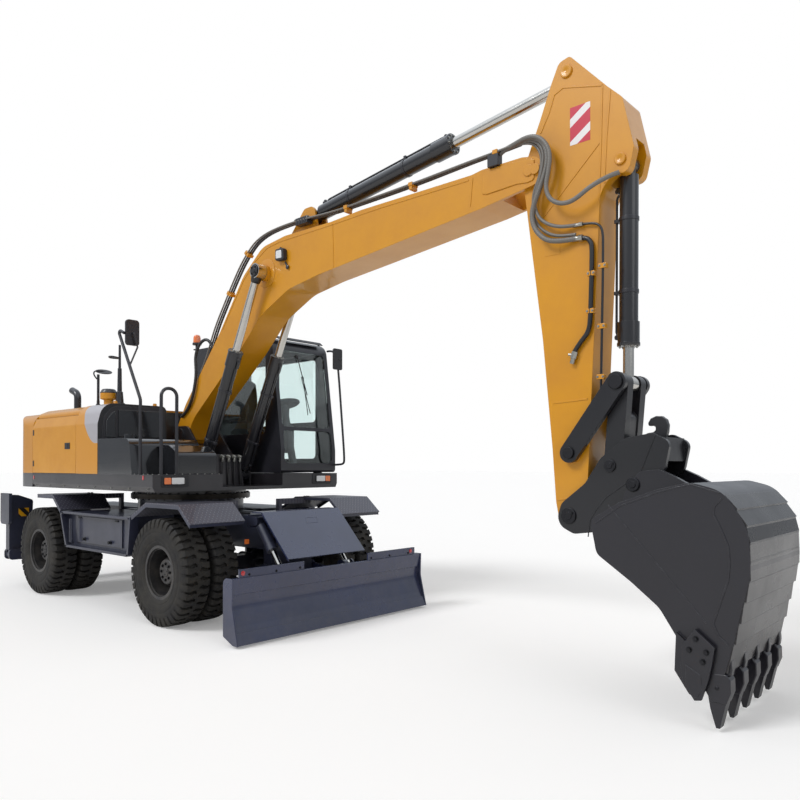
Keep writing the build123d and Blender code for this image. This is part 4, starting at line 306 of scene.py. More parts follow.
def toned(name, base, shade, pattern, finish, strength=0.0, depth=0.001, kind="TexNoise", **settings):
    """One pattern mixes two tones and, with a strength, is raised; finish holds the shader's own values."""
    material, tree, surface, place = new_material(name)
    marks = add(tree, kind, pattern, **settings)
    wire(marks, {"Vector": place})
    share = marks.outputs["Fac"]
    colour = add(tree, "Mix", {0: share, 6: base, 7: shade}, data_type="RGBA")
    wire(surface, {"Base Color": colour, **finish})
    if strength:
        bump = add(tree, "Bump", {"Height": share, "Strength": strength, "Distance": depth})
        wire(surface, {"Normal": bump})
    return material


def steel(name, base, shade, roughness, grain, strength):
    """Bare or plated steel: metal with a fine turned or cast grain."""
    finish = {"Metallic": 1.0, "Roughness": roughness}
    return toned(name, base, shade, {"Scale": grain, "Detail": 5.0}, finish, strength)


# Zinc plating on couplings, bolts and clamps: pale grey, softly crystalline
zinc_plate = steel("zinc_plated_steel", "#b9b8b2", "#98978f", 0.32, 60.0, 0.1)
# Phosphated black bolts
black_bolt = steel("phosphated_steel", "#3f3f42", "#2f2f31", 0.45, 80.0, 0.15)
# Greased slewing ring steel, dark
greased_steel = steel("greased_ring_steel", "#4a4540", "#262421", 0.38, 14.0, 0.2)
# Grey cast iron of the engine
cast_iron = steel("grey_cast_iron", "#55565a", "#3c3d40", 0.6, 40.0, 0.4)


def plain(name, base, shade, roughness, scale, strength, coat=0.0):
    """Moulded plastic, rubber or cast resin: one colour with a soft moulded grain."""
    finish = {"Roughness": roughness, "Coat Weight": coat}
    return toned(name, base, shade, {"Scale": scale, "Detail": 4.0}, finish, strength)


# Black polypropylene mouldings with a spark-eroded grain
moulded_plastic = plain("grained_black_plastic", "#222225", "#2c2c30", 0.55, 240.0, 0.3)
# Grey cab trim, moulded
cab_trim = plain("grey_cab_trim", "#4b4e52", "#43464a", 0.6, 220.0, 0.25)
# Woven polyester seat cover, charcoal
seat_cloth = plain("charcoal_seat_cloth", "#33373d", "#272a2f", 0.9, 600.0, 0.6)
# Rubber hose cover, wrapped and cured: matt with a faint cloth imprint
hose_rubber = plain("wrapped_hose_rubber", "#7d7a75", "#65625e", 0.42, 320.0, 0.3)
black_hose = plain("black_hose_rubber", "#343334", "#262526", 0.4, 320.0, 0.3)
# Yellow enamel on small clamps
clamp_enamel = plain("yellow_clamp_enamel", "#d9960f", "#c9850f", 0.35, 30.0, 0.05, 0.5)


def lens(name, tint, glow, roughness=0.12):
    """Injection-moulded acrylic lamp lens with a ribbed inside, lit only by the light that falls on it."""
    finish = {"Roughness": roughness, "Coat Weight": 1.0, "Coat Roughness": 0.03, "IOR": 1.49}
    return toned(name, tint, glow, {"Scale": 42.0}, finish, 0.35, 0.002, "TexWave", bands_direction="Y")


amber_lens = lens("amber_acrylic_lens", "#e8641a", "#f4893a")
red_lens = lens("red_acrylic_lens", "#a3121c", "#c5202b")
clear_lens = lens("clear_acrylic_lens", "#c9ccd0", "#f2f4f5", 0.08)
# Silvered glass of the driving mirrors, slightly clouded at the rim
mirror = toned(
    "silvered_mirror_glass", "#c8d0d4", "#aab4b9", {"Scale": 30.0}, {"Metallic": 1.0, "Roughness": 0.05},
)
# Toughened cab glass, floated: clear, with a faint green-blue tint in soft waves
glass = toned(
    "tinted_toughened_glass", "#f6fdfc", "#e9f8f7", {"Scale": 1.4, "Detail": 2.0},
    {"Roughness": 0.02, "Transmission Weight": 1.0, "IOR": 1.52},
)


def stripes(name, dark, light, width, across, start, share=0.5):
    """Retroreflective sheet with slanting bands; across is the direction the bands follow each other in."""
    material, tree, surface, place = new_material(name)
    run = add(tree, "VectorMath", {0: place, 1: across}, operation="DOT_PRODUCT")
    shifted = add(tree, "Math", {0: run, 1: start}, operation="ADD")
    turn = add(tree, "Math", {0: shifted, 1: 1 / (2 * width)}, operation="MULTIPLY")
    part = add(tree, "Math", {0: turn}, operation="FRACT")
    band = add(tree, "Math", {0: part, 1: share}, operation="GREATER_THAN")
    cells = add(tree, "TexVoronoi", {"Vector": place, "Scale": 260.0}).outputs["Distance"]
    colour = add(tree, "Mix", {0: band, 6: dark, 7: light}, data_type="RGBA")
    bump = add(tree, "Bump", {"Height": cells, "Strength": 0.1, "Distance": 0.001})
    wire(surface, {"Base Color": colour, "Normal": bump, "Roughness": 0.3, "Coat Weight": 0.5})
    return material


red_white = stripes(
    "red_white_reflective_film", "#e9e6e6", "#c4203c", 0.07, (-0.56, 0, 0.83), -0.0245, 0.38,
)
black_yellow = stripes("black_yellow_reflective_film", "#1e1e20", "#d59a17", 0.05, (0, 0.7, 0.7), 0.0)

wheels = ("front_left", "front_right", "rear_left", "rear_right")
rubber = tyre_rubber()
FINISHES = {
    slate_enamel_sky_painted: (
        "undercarriage_frame", "toolboxes", "toolbox_door_left", "toolbox_door_right", "blade_barrels",
        "stabiliser_leg_left", "stabiliser_leg_right",
    ),
    blade_enamel_sky_painted: ("dozer_blade", "blade_guard"),
    charcoal_enamel: ("house_frame",),
    gloss_black: ("fuel_tank",),
    casting_enamel: ("rocker_links", "power_link", "quick_coupler"),
    black_enamel: (
        "front_axle", "rear_axle", "gearbox_and_shafts", "steering_knuckle_left", "steering_knuckle_right",
        "engine_bay_walls", "handrails", "cab_shell", "cab_door", "exhaust_stack",
    ),
    cylinder_enamel: ("boom_barrels", "arm_barrel", "bucket_barrel", "leg_barrel_left", "leg_barrel_right"),
    yellow_enamel: ("side_door_right", "side_door_left", "hood_lid", "boom", "arm"),
    hard_chrome(): ("boom_rods", "arm_rod", "bucket_rod", "blade_rods", "leg_rod_left", "leg_rod_right"),
    rim_enamel: ["rims_" + wheel for wheel in wheels],
    rubber: ["tyres_" + wheel for wheel in wheels],
    glass: ("cab_glass", "door_glass"),
    bucket_enamel: ("bucket",),
    chequer_plate(): ("fenders",),
    greased_steel: ("slewing_ring",),
    cast_iron: ("engine_block",),
    cab_trim: ("cab_interior",),
    counterweight_enamel(): ("counterweight",),
    corner_enamel(): ("hood_front_box",),
    cleaner_enamel(): ("air_cleaner",),
}
for material, names in FINISHES.items():
    for name in names:
        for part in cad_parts[name].material_slots:
            part.material = material


# World, lamps and floor: plain soft studio light on a white ground
def studio():
    world = bpy.data.worlds.new("studio")
    scene.world = world
    world.use_nodes = True
    tree = world.node_tree
    tree.nodes.clear()
    rays = add(tree, "LightPath").outputs
    sight = {0: rays["Is Camera Ray"], 1: rays["Is Transmission Ray"]}
    seen = add(tree, "Math", sight, operation="MAXIMUM")
    ambient = add(tree, "Background", {0: "#ffffff", 1: 0.52})
    ground = add(tree, "Background", {0: "#ffffff", 1: 1.0})
    way = add(tree, "TexCoord").outputs["Generated"]
    height = add(tree, "SeparateXYZ", {0: way}).outputs["Z"]
    panel = add(tree, "MapRange", {"Value": height, 1: -0.05, 2: 0.75, 3: 0.22, 4: 1.15})
    sky = add(tree, "Background", {0: (0.86, 0.92, 1.0, 1), 1: panel})
    lit = add(tree, "MixShader", {0: rays["Is Glossy Ray"], 1: ambient, 2: sky})
    mixed = add(tree, "MixShader", {0: seen, 1: lit, 2: ground})
    add(tree, "OutputWorld", {0: mixed})

    for name, direction, strength, spread in (
        ("key_light", (0.30, 0.80, -0.75), 1.55, 22),
        ("fill_light", (-0.9, 0.15, -0.5), 0.35, 40),
    ):
        lamp = bpy.data.objects.new(name, bpy.data.lights.new(name, "SUN"))
        lamp.data.energy = strength
        lamp.data.angle = math.radians(spread)
        lamp.rotation_euler = Vector(direction).to_track_quat("-Z", "Y").to_euler()
        scene.collection.objects.link(lamp)

    mesh = bpy.data.meshes.new("floor")
    reach = 150
    corners = [(x * reach, y * reach, -0.001) for x, y in ((-1, -1), (1, -1), (1, 1), (-1, 1))]
    mesh.from_pydata(corners, [], [(0, 1, 2, 3)])
    floor = bpy.data.objects.new("floor", mesh)
    scene.collection.objects.link(floor)
    material, tree, surface, place = new_material("white_studio_floor")
    mottle = add(tree, "TexNoise", {"Vector": place, "Scale": 0.8, "Detail": 3.0})
    tones = {0: mottle, 6: (0.86, 0.86, 0.86, 1), 7: (0.88, 0.88, 0.88, 1)}
    wire(surface, {
        "Base Color": add(tree, "Mix", tones, data_type="RGBA"),
        "Emission Strength": add(tree, "LightPath").outputs["Is Camera Ray"],
        "Emission Color": (0.2, 0.2, 0.2, 1), "Roughness": 0.9, "Specular IOR Level": 0.1,
    })
    mesh.materials.append(material)


studio()
scene.view_settings.view_transform = "Standard"


# Mesh tools; places are in machine millimetres
def bridge(mesh, rings):
    """Quads from ring to ring, of as many vertices each."""
    for first, second in zip(rings, rings[1:]):
        for i in range(len(first)):
            j = (i + 1) % len(first)
            mesh.faces.new((first[i], first[j], second[j], second[i]))


def capped(mesh, rings):
    """Closed solid over rings of vertices, with a face on its first and its last ring."""
    bridge(mesh, rings)
    mesh.faces.new(rings[0][::-1])
    mesh.faces.new(rings[-1])


def slab(mesh, corners, axis, low, high):
    """Prism over a polygon; axis y takes (x, z) corners, x takes (y, z) and z takes (x, y)."""
    place = {
        "x": lambda a, b, c: at(c, a, b),
        "y": lambda a, b, c: at(a, c, b),
        "z": lambda a, b, c: at(a, b, c),
    }[axis]
    capped(mesh, [[mesh.verts.new(place(a, b, level)) for a, b in corners] for level in (low, high)])


def brick(mesh, x, y, z):
    slab(mesh, [(x[0], y[0]), (x[1], y[0]), (x[1], y[1]), (x[0], y[1])], "z", *z)


def cut_corners(across, up, cut):
    """Rectangle with cut corners, as a slab's outline."""
    (low, high), (bottom, top) = across, up
    return [
        (low + cut, bottom), (high - cut, bottom), (high, bottom + cut), (high, top - cut),
        (high - cut, top), (low + cut, top), (low, top - cut), (low, bottom + cut),
    ]


def square_to(axis):
    """Unit vector along an axis, and two that are square to it."""
    way = Vector(axis).normalized()
    side = way.orthogonal().normalized()
    return way, side, way.cross(side)


def round_spots(centre, side, up, radius, count, phase=0.0):
    """Places set evenly on a circle."""
    turns = [2 * math.pi * (i + phase) / count for i in range(count)]
    return [centre + (side * math.cos(turn) + up * math.sin(turn)) * radius for turn in turns]


def turned(mesh, rows, origin, axis, steps=32):
    """Solid of revolution; rows are (distance along the axis, radius), capped unless they form a ring."""
    way, side, up = square_to(axis)
    centre = at(*origin)
    rings = []
    for along, radius in rows:
        spot = centre + way * (along / 1000)
        spots = round_spots(spot, side, up, radius / 1000, steps) if radius > 0 else [spot]
        rings.append([mesh.verts.new(each) for each in spots])
    for first, second in zip(rings, rings[1:]):
        for i in range(steps):
            pair = (i, (i + 1) % steps)
            corners = [first[k % len(first)] for k in pair] + [second[k % len(second)] for k in pair[::-1]]
            corners = list(dict.fromkeys(corners))
            if len(corners) > 2:
                mesh.faces.new(corners)
    if rows[0] == rows[-1]:
        bmesh.ops.remove_doubles(mesh, verts=rings[0] + rings[-1], dist=1e-6)
        return
    for ring in (rings[0], rings[-1]):
        if len(ring) > 1:
            mesh.faces.new(ring)


def bar(mesh, start, end, radius, steps=12, end_radius=None):
    span = Vector(end) - Vector(start)
    rows = [(0, radius), (span.length, radius if end_radius is None else end_radius)]
    turned(mesh, rows, start, span, steps)


def closed(name, mesh):
    """Finished mesh data, with all faces turned outwards."""
    bmesh.ops.recalc_face_normals(mesh, faces=mesh.faces)
    data = bpy.data.meshes.new(name)
    mesh.to_mesh(data)
    mesh.free()
    return data


def show(name, data, body, material, bevel=0, segments=2, angle=35):
    """Puts a finished mesh in the scene as a piece that rides on a body."""
    data.materials.clear()
    data.materials.append(material)
    data.shade_smooth()
    data.set_sharp_from_angle(angle=math.radians(angle))
    item = bpy.data.objects.new(name, data)
    scene.collection.objects.link(item)
    if bevel:
        rounding = item.modifiers.new("rounding", "BEVEL")
        rounding.width = bevel / 1000
        rounding.segments = segments
        rounding.limit_method = "ANGLE"
        rounding.angle_limit = math.radians(40)
        rounding.harden_normals = True
    if body:
        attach(item, body)
    return item


def piece(name, mesh, body, material, bevel=0, segments=2, angle=35):
    return show(name, closed(name, mesh), body, material, bevel, segments, angle)


def made(*solids):
    """Mesh of several solids, each written as its function and what that takes after the mesh."""
    mesh = bmesh.new()
    for form, *values in solids:
        form(mesh, *values)
    return mesh


def evaluated(item):
    """Plain mesh of an object with its modifiers; the object goes."""
    scene.collection.objects.link(item)
    bpy.context.view_layer.update()
    data = bpy.data.meshes.new_from_object(item.evaluated_get(bpy.context.evaluated_depsgraph_get()))
    bpy.data.objects.remove(item)
    return data


def curve_mesh(name, points, radius=0.0, sides=3):
    """Mesh of a smooth line through its control points, with a round section."""
    curve = bpy.data.curves.new(name, "CURVE")
    curve.dimensions = "3D"
    curve.bevel_depth = radius / 1000
    curve.bevel_resolution = sides
    curve.use_fill_caps = radius > 0
    line = curve.splines.new("NURBS")
    line.points.add(len(points) - 1)
    for point, spot in zip(line.points, points):
        point.co = (*at(*spot), 1)
    line.order_u = 3
    line.use_endpoint_u = True
    line.resolution_u = 6
    data = evaluated(bpy.data.objects.new(name, curve))
    bpy.data.curves.remove(curve)
    return data


def pipes(name, routes, body, material, sides=3):
    """Rigid bent tubes as one piece; routes are (radius, points)."""
    mesh = bmesh.new()
    for radius, points in routes:
        data = curve_mesh(name, points, radius, sides)
        mesh.from_mesh(data)
        bpy.data.meshes.remove(data)
    bmesh.ops.remove_doubles(mesh, verts=mesh.verts, dist=1e-5)
    return piece(name, mesh, body, material, angle=60)


def nodes_mesh(name, data, tree, values):
    """Runs a Geometry Nodes tree on a mesh and returns the plain result."""
    item = bpy.data.objects.new(name, data)
    modifier = item.modifiers.new("nodes", "NODES")
    modifier.node_group = tree
    sockets = {s.name: s.identifier for s in tree.interface.items_tree if s.in_out == "INPUT"}
    for key, value in values.items():
        modifier[sockets[key]] = value
    return evaluated(item)


def nodes_tree(name, sockets):
    """Geometry Nodes tree with its inputs, and the node that its result goes to."""
    tree = bpy.data.node_groups.new(name, "GeometryNodeTree")
    tree.interface.new_socket("Geometry", in_out="INPUT", socket_type="NodeSocketGeometry")
    for label, kind, value in sockets:
        socket = tree.interface.new_socket(label, in_out="INPUT", socket_type="NodeSocket" + kind)
        if value is not None:
            socket.default_value = value
    tree.interface.new_socket("Geometry", in_out="OUTPUT", socket_type="NodeSocketGeometry")
    return tree, add(tree, "NodeGroupInput").outputs, add(tree, "NodeGroupOutput")


def bolt_tree():
    """A hexagon head on its washer at every point, standing along the point's facing attribute."""
    tree, given, output = nodes_tree("bolts_on_points", (
        ("Head Radius", "Float", 0.009),
        ("Head Height", "Float", 0.007),
        ("Washer Radius", "Float", 0.014),
        ("Washer Height", "Float", 0.003),
        ("Material", "Material", None),
    ))
    facing = add(tree, "GeometryNodeInputNamedAttribute", data_type="FLOAT_VECTOR")
    facing.inputs[0].default_value = "facing"
    turn = add(tree, "FunctionNodeAlignRotationToVector", {"Vector": facing.outputs[0]}, axis="Z")
    size = {"Vertices": 6, "Radius": given["Head Radius"], "Depth": given["Head Height"]}
    head = add(tree, "GeometryNodeMeshCylinder", size)
    size = {"Vertices": 14, "Radius": given["Washer Radius"], "Depth": given["Washer Height"]}
    washer = add(tree, "GeometryNodeMeshCylinder", size)
    half = add(tree, "Math", {0: given["Head Height"], 1: 0.5}, operation="MULTIPLY")
    lift = add(tree, "Math", {0: half, 1: given["Washer Height"]}, operation="ADD")
    raised = add(tree, "CombineXYZ", {2: lift})
    head = add(tree, "GeometryNodeTransform", {0: head.outputs[0], "Translation": raised})
    both = add(tree, "GeometryNodeJoinGeometry", {0: head.outputs[0]})
    wire(both, {0: washer.outputs[0]})
    spread = {"Points": given["Geometry"], "Instance": both.outputs[0], "Rotation": turn.outputs[0]}
    placed = add(tree, "GeometryNodeInstanceOnPoints", spread)
    real = add(tree, "GeometryNodeRealizeInstances", {0: placed.outputs[0]})
    finished = add(tree, "GeometryNodeSetMaterial", {0: real.outputs[0], "Material": given["Material"]})
    wire(output, {0: finished.outputs[0]})
    return tree


def ring_tree():
    """Copies of one block set evenly round an axle, then moved to the axle's place."""
    tree, given, output = nodes_tree("blocks_round_an_axle", (
        ("Count", "Int", 39),
        ("Phase", "Float", 0.0),
        ("Place", "Vector", (0.0, 0.0, 0.0)),
        ("Material", "Material", None),
    ))
    points = add(tree, "GeometryNodeMeshLine", {"Count": given["Count"], "Offset": (0.0, 0.0, 0.0)})
    index = add(tree, "GeometryNodeInputIndex").outputs[0]
    step = add(tree, "Math", {0: 2 * math.pi, 1: given["Count"]}, operation="DIVIDE")
    turn = add(tree, "Math", {0: index, 1: step}, operation="MULTIPLY")
    turn = add(tree, "Math", {0: turn, 1: given["Phase"]}, operation="ADD")
    angles = add(tree, "CombineXYZ", {1: turn})
    rotation = add(tree, "FunctionNodeEulerToRotation", {0: angles}).outputs[0]
    spread = {"Points": points.outputs[0], "Instance": given["Geometry"], "Rotation": rotation}
    placed = add(tree, "GeometryNodeInstanceOnPoints", spread)
    moved = add(tree, "GeometryNodeTransform", {0: placed.outputs[0], "Translation": given["Place"]})
    real = add(tree, "GeometryNodeRealizeInstances", {0: moved.outputs[0]})
    finished = add(tree, "GeometryNodeSetMaterial", {0: real.outputs[0], "Material": given["Material"]})
    wire(output, {0: finished.outputs[0]})
    return tree


BOLTS = bolt_tree()
RING = ring_tree()


def bolts(name, spots, body, material, head=9, height=7, washer=14):
    """Bolts at (place, facing) spots as one piece."""
    data = bpy.data.meshes.new(name)
    data.from_pydata([at(*place) for place, facing in spots], [], [])
    facing = data.attributes.new("facing", "FLOAT_VECTOR", "POINT")
    for i, spot in enumerate(spots):
        facing.data[i].vector = spot[1]
    result = nodes_mesh(name, data, BOLTS, {
        "Head Radius": head / 1000, "Head Height": height / 1000, "Washer Radius": washer / 1000,
        "Washer Height": 0.003, "Material": material,
    })
    return show(name, result, body, material)


def circle(origin, axis, radius, count, phase=0.0):
    """Spots for bolts on a ring about an axis."""
    way, side, up = square_to(axis)
    return [(tuple(spot), tuple(way)) for spot in round_spots(Vector(origin), side, up, radius, count, phase)]


# Tyres: carcass with its side-wall rings, and thirty-nine lugs a side that meet in a zigzag
WHEEL_Z = 527
TYRE_MIDDLES = (1122, 800)
AXLES = {"front": 1385, "rear": -1415}
HUB_Y = 1162
CARCASS = [
    (-96, 258), (-110, 262), (-122, 276), (-128, 300), (-126, 306), (-131, 318), (-136, 350), (-139, 385),
    (-136.5, 391), (-139, 397), (-137, 430), (-131, 466), (-120, 490), (-96, 497), (0, 499),
]
LUG_FLARE = 3
LUG_ROWS = [
    (-12, -8, 18, 526, 496), (10, -26, 34, 526.5, 496), (34, -32, 16, 527, 496), (60, -20, 24, 527, 496),
    (88, -24, 34, 526, 494), (118, -30, 29, 522, 488), (130, -28, 27, 508, 474), (138, -25, 24, 478, 455),
    (139.5, -20, 19, 448, 436),
]


def lug(side):
    """One tread block as rows of (across, low, high, top radius, root radius) bent round the tyre."""
    mesh = bmesh.new()
    rings = []
    for across, low, high, top, root in LUG_ROWS:
        ring = []
        for along, radius in ((low - LUG_FLARE, root), (low, top), (high, top), (high + LUG_FLARE, root)):
            turn = along / WHEEL_Z
            spot = Vector((radius * math.sin(turn), side * across, radius * math.cos(turn))) / 1000
            ring.append(mesh.verts.new(spot))
        rings.append(ring)
    capped(mesh, rings)
    return closed("lug", mesh)


for end, axle_x in AXLES.items():
    for name, side in (("left", 1), ("right", -1)):
        body = f"wheels_{end}_{name}"
        mesh = bmesh.new()
        for number, middle in enumerate(TYRE_MIDDLES):
            centre = (axle_x, side * middle, WHEEL_Z)
            rows = CARCASS + [(-w, r) for w, r in CARCASS[-2::-1]]
            turned(mesh, rows + [(90, 250), (-90, 250), CARCASS[0]], centre, (0, 1, 0), 96)
            for half in SIDES:
                data = nodes_mesh("lugs", lug(half), RING, {
                    "Count": 39, "Phase": (0.08 if half > 0 else 0.0) + 0.05 * number,
                    "Place": at(*centre), "Material": rubber,
                })
                mesh.from_mesh(data)
                bpy.data.meshes.remove(data)
        tyre = piece(f"twin_tyres_{end}_{name}", mesh, body, rubber, angle=32)
        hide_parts(f"tyres_{end}_{name}")
        out = (0, side, 0)
        hub = (axle_x, side * HUB_Y, WHEEL_Z)
        nuts = circle((axle_x, side * 977, WHEEL_Z), out, 205, 10) + circle(hub, out, 78, 8)
        bolts(f"wheel_nuts_{end}_{name}", nuts, body, black_bolt, 12, 11, 17)
        mesh = made((turned, [(0, 48), (5, 48), (9, 42), (9, 0)], hub, out, 28))
        for turn in range(3):
            a = 2 * math.pi * turn / 3 + 0.4
            foot = Vector((axle_x + 26 * math.cos(a), side * (HUB_Y + 6), WHEEL_Z + 26 * math.sin(a)))
            bar(mesh, foot, foot + Vector((0, side * 9, 0)), 7, 8)
        ring = [(-6, 236), (6, 236), (6, 226), (-6, 226), (-6, 236)]
        turned(mesh, ring, (axle_x, side * 1206, WHEEL_Z), out, 64)
        piece(f"hub_cover_{end}_{name}", mesh, body, rim_enamel, angle=40)


# Undercarriage: ring bolts, fender flanges, guard hatch, toolbox fittings, hoses and amber reflectors
upper_ring = circle((0, 0, 1240), (0, 0, 1), 676, 40)
bolts("slewing_ring_bolts", upper_ring, "undercarriage", black_bolt, 12, 12, 0.1)
lower_ring = circle((0, 0, 1185), (0, 0, -1), 678, 40, 0.5)
bolts("slewing_ring_lower_bolts", lower_ring, "undercarriage", black_bolt, 11, 9, 15)

# each edge's (x, z) line is closed by the same line a little lower
mesh = bmesh.new()
for edge in (
    [(890, 1056), (1178, 1197), (1762, 1197), (1958, 1030)],
    [(-1398, 1218), (-962, 1218), (-766, 1056)],
):
    for drop, low, high in ((42, 1253, 1261), (30, 651, 657)):
        for side in SIDES:
            slab(mesh, edge + [(x, z - drop) for x, z in edge[::-1]], "y", side * low, side * high)
for side in SIDES:
    slab(mesh, [(1950, 1022), (1964, 1032), (1950, 992), (1940, 996)], "y", side * 660, side * 1255)
piece("fender_flanges", mesh, "undercarriage", slate_enamel_sky_painted, 2)
spots = [
    ((x, side * y, z), (0, 0, 1))
    for x, z in ((1295, 1203), (1325, 1203), (-1185, 1223), (-1155, 1223))
    for y in (690, 730) for side in SIDES
]
bolts("fender_bolts", spots, "undercarriage", black_bolt)

GUARD_TOP = Vector((2050, 0, 1100))
GUARD_RUN = Vector((410, 0, -428))
GUARD_OUT = Vector((428, 0, 410)).normalized()


def on_guard(y, share, lift):
    """Place on the sloping guard plate, a share of the way down from its top edge."""
    return GUARD_TOP + GUARD_RUN * share + GUARD_OUT * (12 + lift) + Vector((0, y, 0))


hatch = [(-44, 0.30), (-10, 0.17), (151, 0.17), (116, 0.30)]
middle_y = sum(y for y, share in hatch) / 4
middle_share = sum(share for y, share in hatch) / 4
opening = [
    (middle_y + (y - middle_y) * 0.86, middle_share + (share - middle_share) * 0.8) for y, share in hatch
]
mesh = bmesh.new()
loops = [
    [mesh.verts.new(at(*on_guard(*corner, lift))) for corner in outline]
    for outline, lift in ((hatch, 2), (opening, 2), (opening, -2), (hatch, -2))
]
bridge(mesh, loops + loops[:1])
for y in (-505, 503):
    slab(mesh, [(2051, 1092), (2461, 664), (2452, 655), (2042, 1083)], "y", y, y + 6)
piece("guard_hatch_frame", mesh, "undercarriage", blade_enamel_sky_painted, 1)

mesh = bmesh.new()
for side in SIDES:
    for x in (-560, -520):
        brick(mesh, (x, x + 14), (side * 1228, side * 1246), (690, 960))
piece("toolbox_handles", mesh, "undercarriage", slate_enamel_sky_painted, 3)
spots = [
    ((x, side * 1250, z), (0, side, 0))
    for side in SIDES for x, z in ((-730, 1025), (-640, 645), (780, 645), (815, 1025))
]
bolts("toolbox_bolts", spots, "undercarriage", black_bolt, 7, 5, 10)
KNOB = [(0, 22), (4, 22), (8, 14), (22, 14), (26, 20), (30, 18), (30, 0)]
for name, side in (("left", 1), ("right", -1)):
    mesh = bmesh.new()
    for x in (-300, 300):
        turned(mesh, KNOB, (x, side * 1180, 740), (0, side, 0), 20)
    for x in (-430, 430):
        brick(mesh, (x - 35, x + 35), (side * 1175, side * 1185), (966, 984))
    piece(f"toolbox_latches_{name}", mesh, f"toolbox_lid_{name}", black_bolt, 1)
mesh = made(*[(brick, (1901, 1912), (side * 556, side * 608), (790, 838)) for side in (-1, 1)])
piece("frame_amber_reflectors", mesh, "undercarriage", amber_lens, 3)
brake_line = ((620, 250, 1050), (760, 262, 1060), (980, 270, 1046), (1150, 200, 1052), (1300, 90, 1046))
steering_line = ((1250, 300, 760), (1300, 380, 800), (1360, 520, 700), (1372, 600, 640))
pipes("brake_and_steering_hoses", [
    (radius, [(x, side * y, z) for x, y, z in line])
    for radius, line in ((8, brake_line), (7, steering_line)) for side in SIDES
], "undercarriage", black_hose)

# Blade: bolted cutting edge, stiffening bands, reflectors
mesh = made(
    (slab, [(2687, 24), (2695, 24), (2655, 124), (2647, 120)], "y", -1242, 1242),
    (slab, [(2606, 590), (2613, 588), (2590, 446), (2582, 442)], "y", -1242, 1242),
)
for side in SIDES:
    lip = [(2590, 655), (2600, 655), (2600, 664), (2574, 664), (2574, 655)]
    slab(mesh, lip, "y", side * 430, side * 1165)
    for y in (120, 650, 900):
        slab(mesh, [(2500, 200), (2566, 190), (2540, 480), (2494, 470)], "y", side * y - 7, side * y + 7)
piece("blade_bands", mesh, "blade", blade_enamel_sky_painted, 2)
DISC = [(0, 22), (4, 22), (6, 18), (6, 0)]
mesh = made(*[(turned, DISC, (2596, y, 628), (1, 0, 0), 20) for y in (-1130, 1098)])
piece("blade_red_reflectors", mesh, "blade", red_lens)
spots = [((2596, side * y, 610), (1, 0, 0)) for side in SIDES for y in (480, 760, 1060)]
bolts("blade_top_bolts", spots, "blade", black_bolt, 8, 6, 12)

# Stabiliser legs: hazard films on their rear faces
for name, side in (("left", 1), ("right", -1)):
    face_x = (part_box(f"stabiliser_leg_{name}")[1].x + MIDDLE_X) * 1000
    mesh = made((brick, (face_x - 0.5, face_x + 1.5), (side * 1020, side * 1150), (900, 1010)))
    piece(f"leg_hazard_film_{name}", mesh, f"leg_{name}", black_yellow)

# House: headlamps, deck bolts, reflectors, lower band fittings
bezels = bmesh.new()
amber = bmesh.new()
clear = bmesh.new()
# (low y, high y) of each bezel, then the spans of the whole lamp, its amber part and its clear part
for low, high, lamp, amber_part, clear_part in (
    (-1149, -834, (-1119, -896), (-1119, -1044), (-1038, -896)),
    (832, 1141, (894, 1111), (1036, 1111), (894, 1030)),
):
    slab(bezels, cut_corners((low, high), (1350, 1476), 14), "x", 1266, 1274)
    brick(bezels, (1273, 1280), (lamp[0] - 8, lamp[1] + 8), (1372, 1454))
    for lens_mesh, part in ((amber, amber_part), (clear, clear_part)):
        slab(lens_mesh, cut_corners(part, (1380, 1446), 6), "x", 1279, 1288)
piece("headlamp_bezels", bezels, "house", moulded_plastic, 3)
piece("headlamp_amber_lenses", amber, "house", amber_lens, 4, 3)
piece("headlamp_clear_lenses", clear, "house", clear_lens, 4, 3)
spots = [((x, -1222, 1477), (0, 0, 1)) for x in range(180, 1240, 88)]
spots += [((1246, y, 1477), (0, 0, 1)) for y in range(-1160, -430, 88)]
spots += [((x, side * 1240, 1330), (0, side, 0)) for side in SIDES for x in range(-1480, 1200, 380)]
bolts("deck_bolts", spots, "house", zinc_plate, 6, 5, 9)
lamps = bmesh.new()
trim = bmesh.new()
for side in SIDES:
    for x, z in ((-1558, 1423), (1089, 1446)):
        brick(lamps, (x - 14, x + 14), (side * 1239, side * 1244), (z - 22, z + 22))
    for x in (-980, 260):
        brick(trim, (x - 60, x + 60), (side * 1236, side * 1243), (1396, 1404))
    brick(trim, (-1598, 1262), (side * 1238, side * 1243), (1470, 1476))
piece("skirt_red_reflectors", lamps, "house", red_lens, 2)
piece("skirt_trim", trim, "house", charcoal_enamel, 1)

# Hood: latches, black front panel with its windows and sills, louvres
mesh = made(
    (brick, (-690, -560), (-1246, -1238), (1760, 1832)),
    (brick, (-680, -600), (-1250, -1245), (1768, 1824)),
)
piece("side_door_latch", mesh, "engine_door_right", moulded_plastic, 3)
mesh = made(*[(brick, (-1590, -1560), (-1244, -1238), (z, z + 70)) for z in (1560, 1940)])
piece("side_door_hinges", mesh, "engine_door_right", black_enamel, 2)
outline = [
    (-1232, 1500), (-1232, 1818), (-1196, 1850), (-1190, 1980), (-1168, 2120), (-1090, 2208), (-1010, 2234),
    (-440, 2236), (-440, 1500),
]
piece("hood_front_panel", made((slab, outline, "x", 114, 121)), "house", black_enamel, 3)
mesh = made(
    (slab, [(-1160, 1880), (-1040, 1880), (-1040, 2180), (-1082, 2160), (-1150, 2070)], "x", 118, 132),
    (slab, [(-1010, 1890), (-470, 1890), (-470, 2196), (-1010, 2190)], "x", 118, 132),
)
piece("hood_front_windows", mesh, "house", gloss_black, 6, 3)
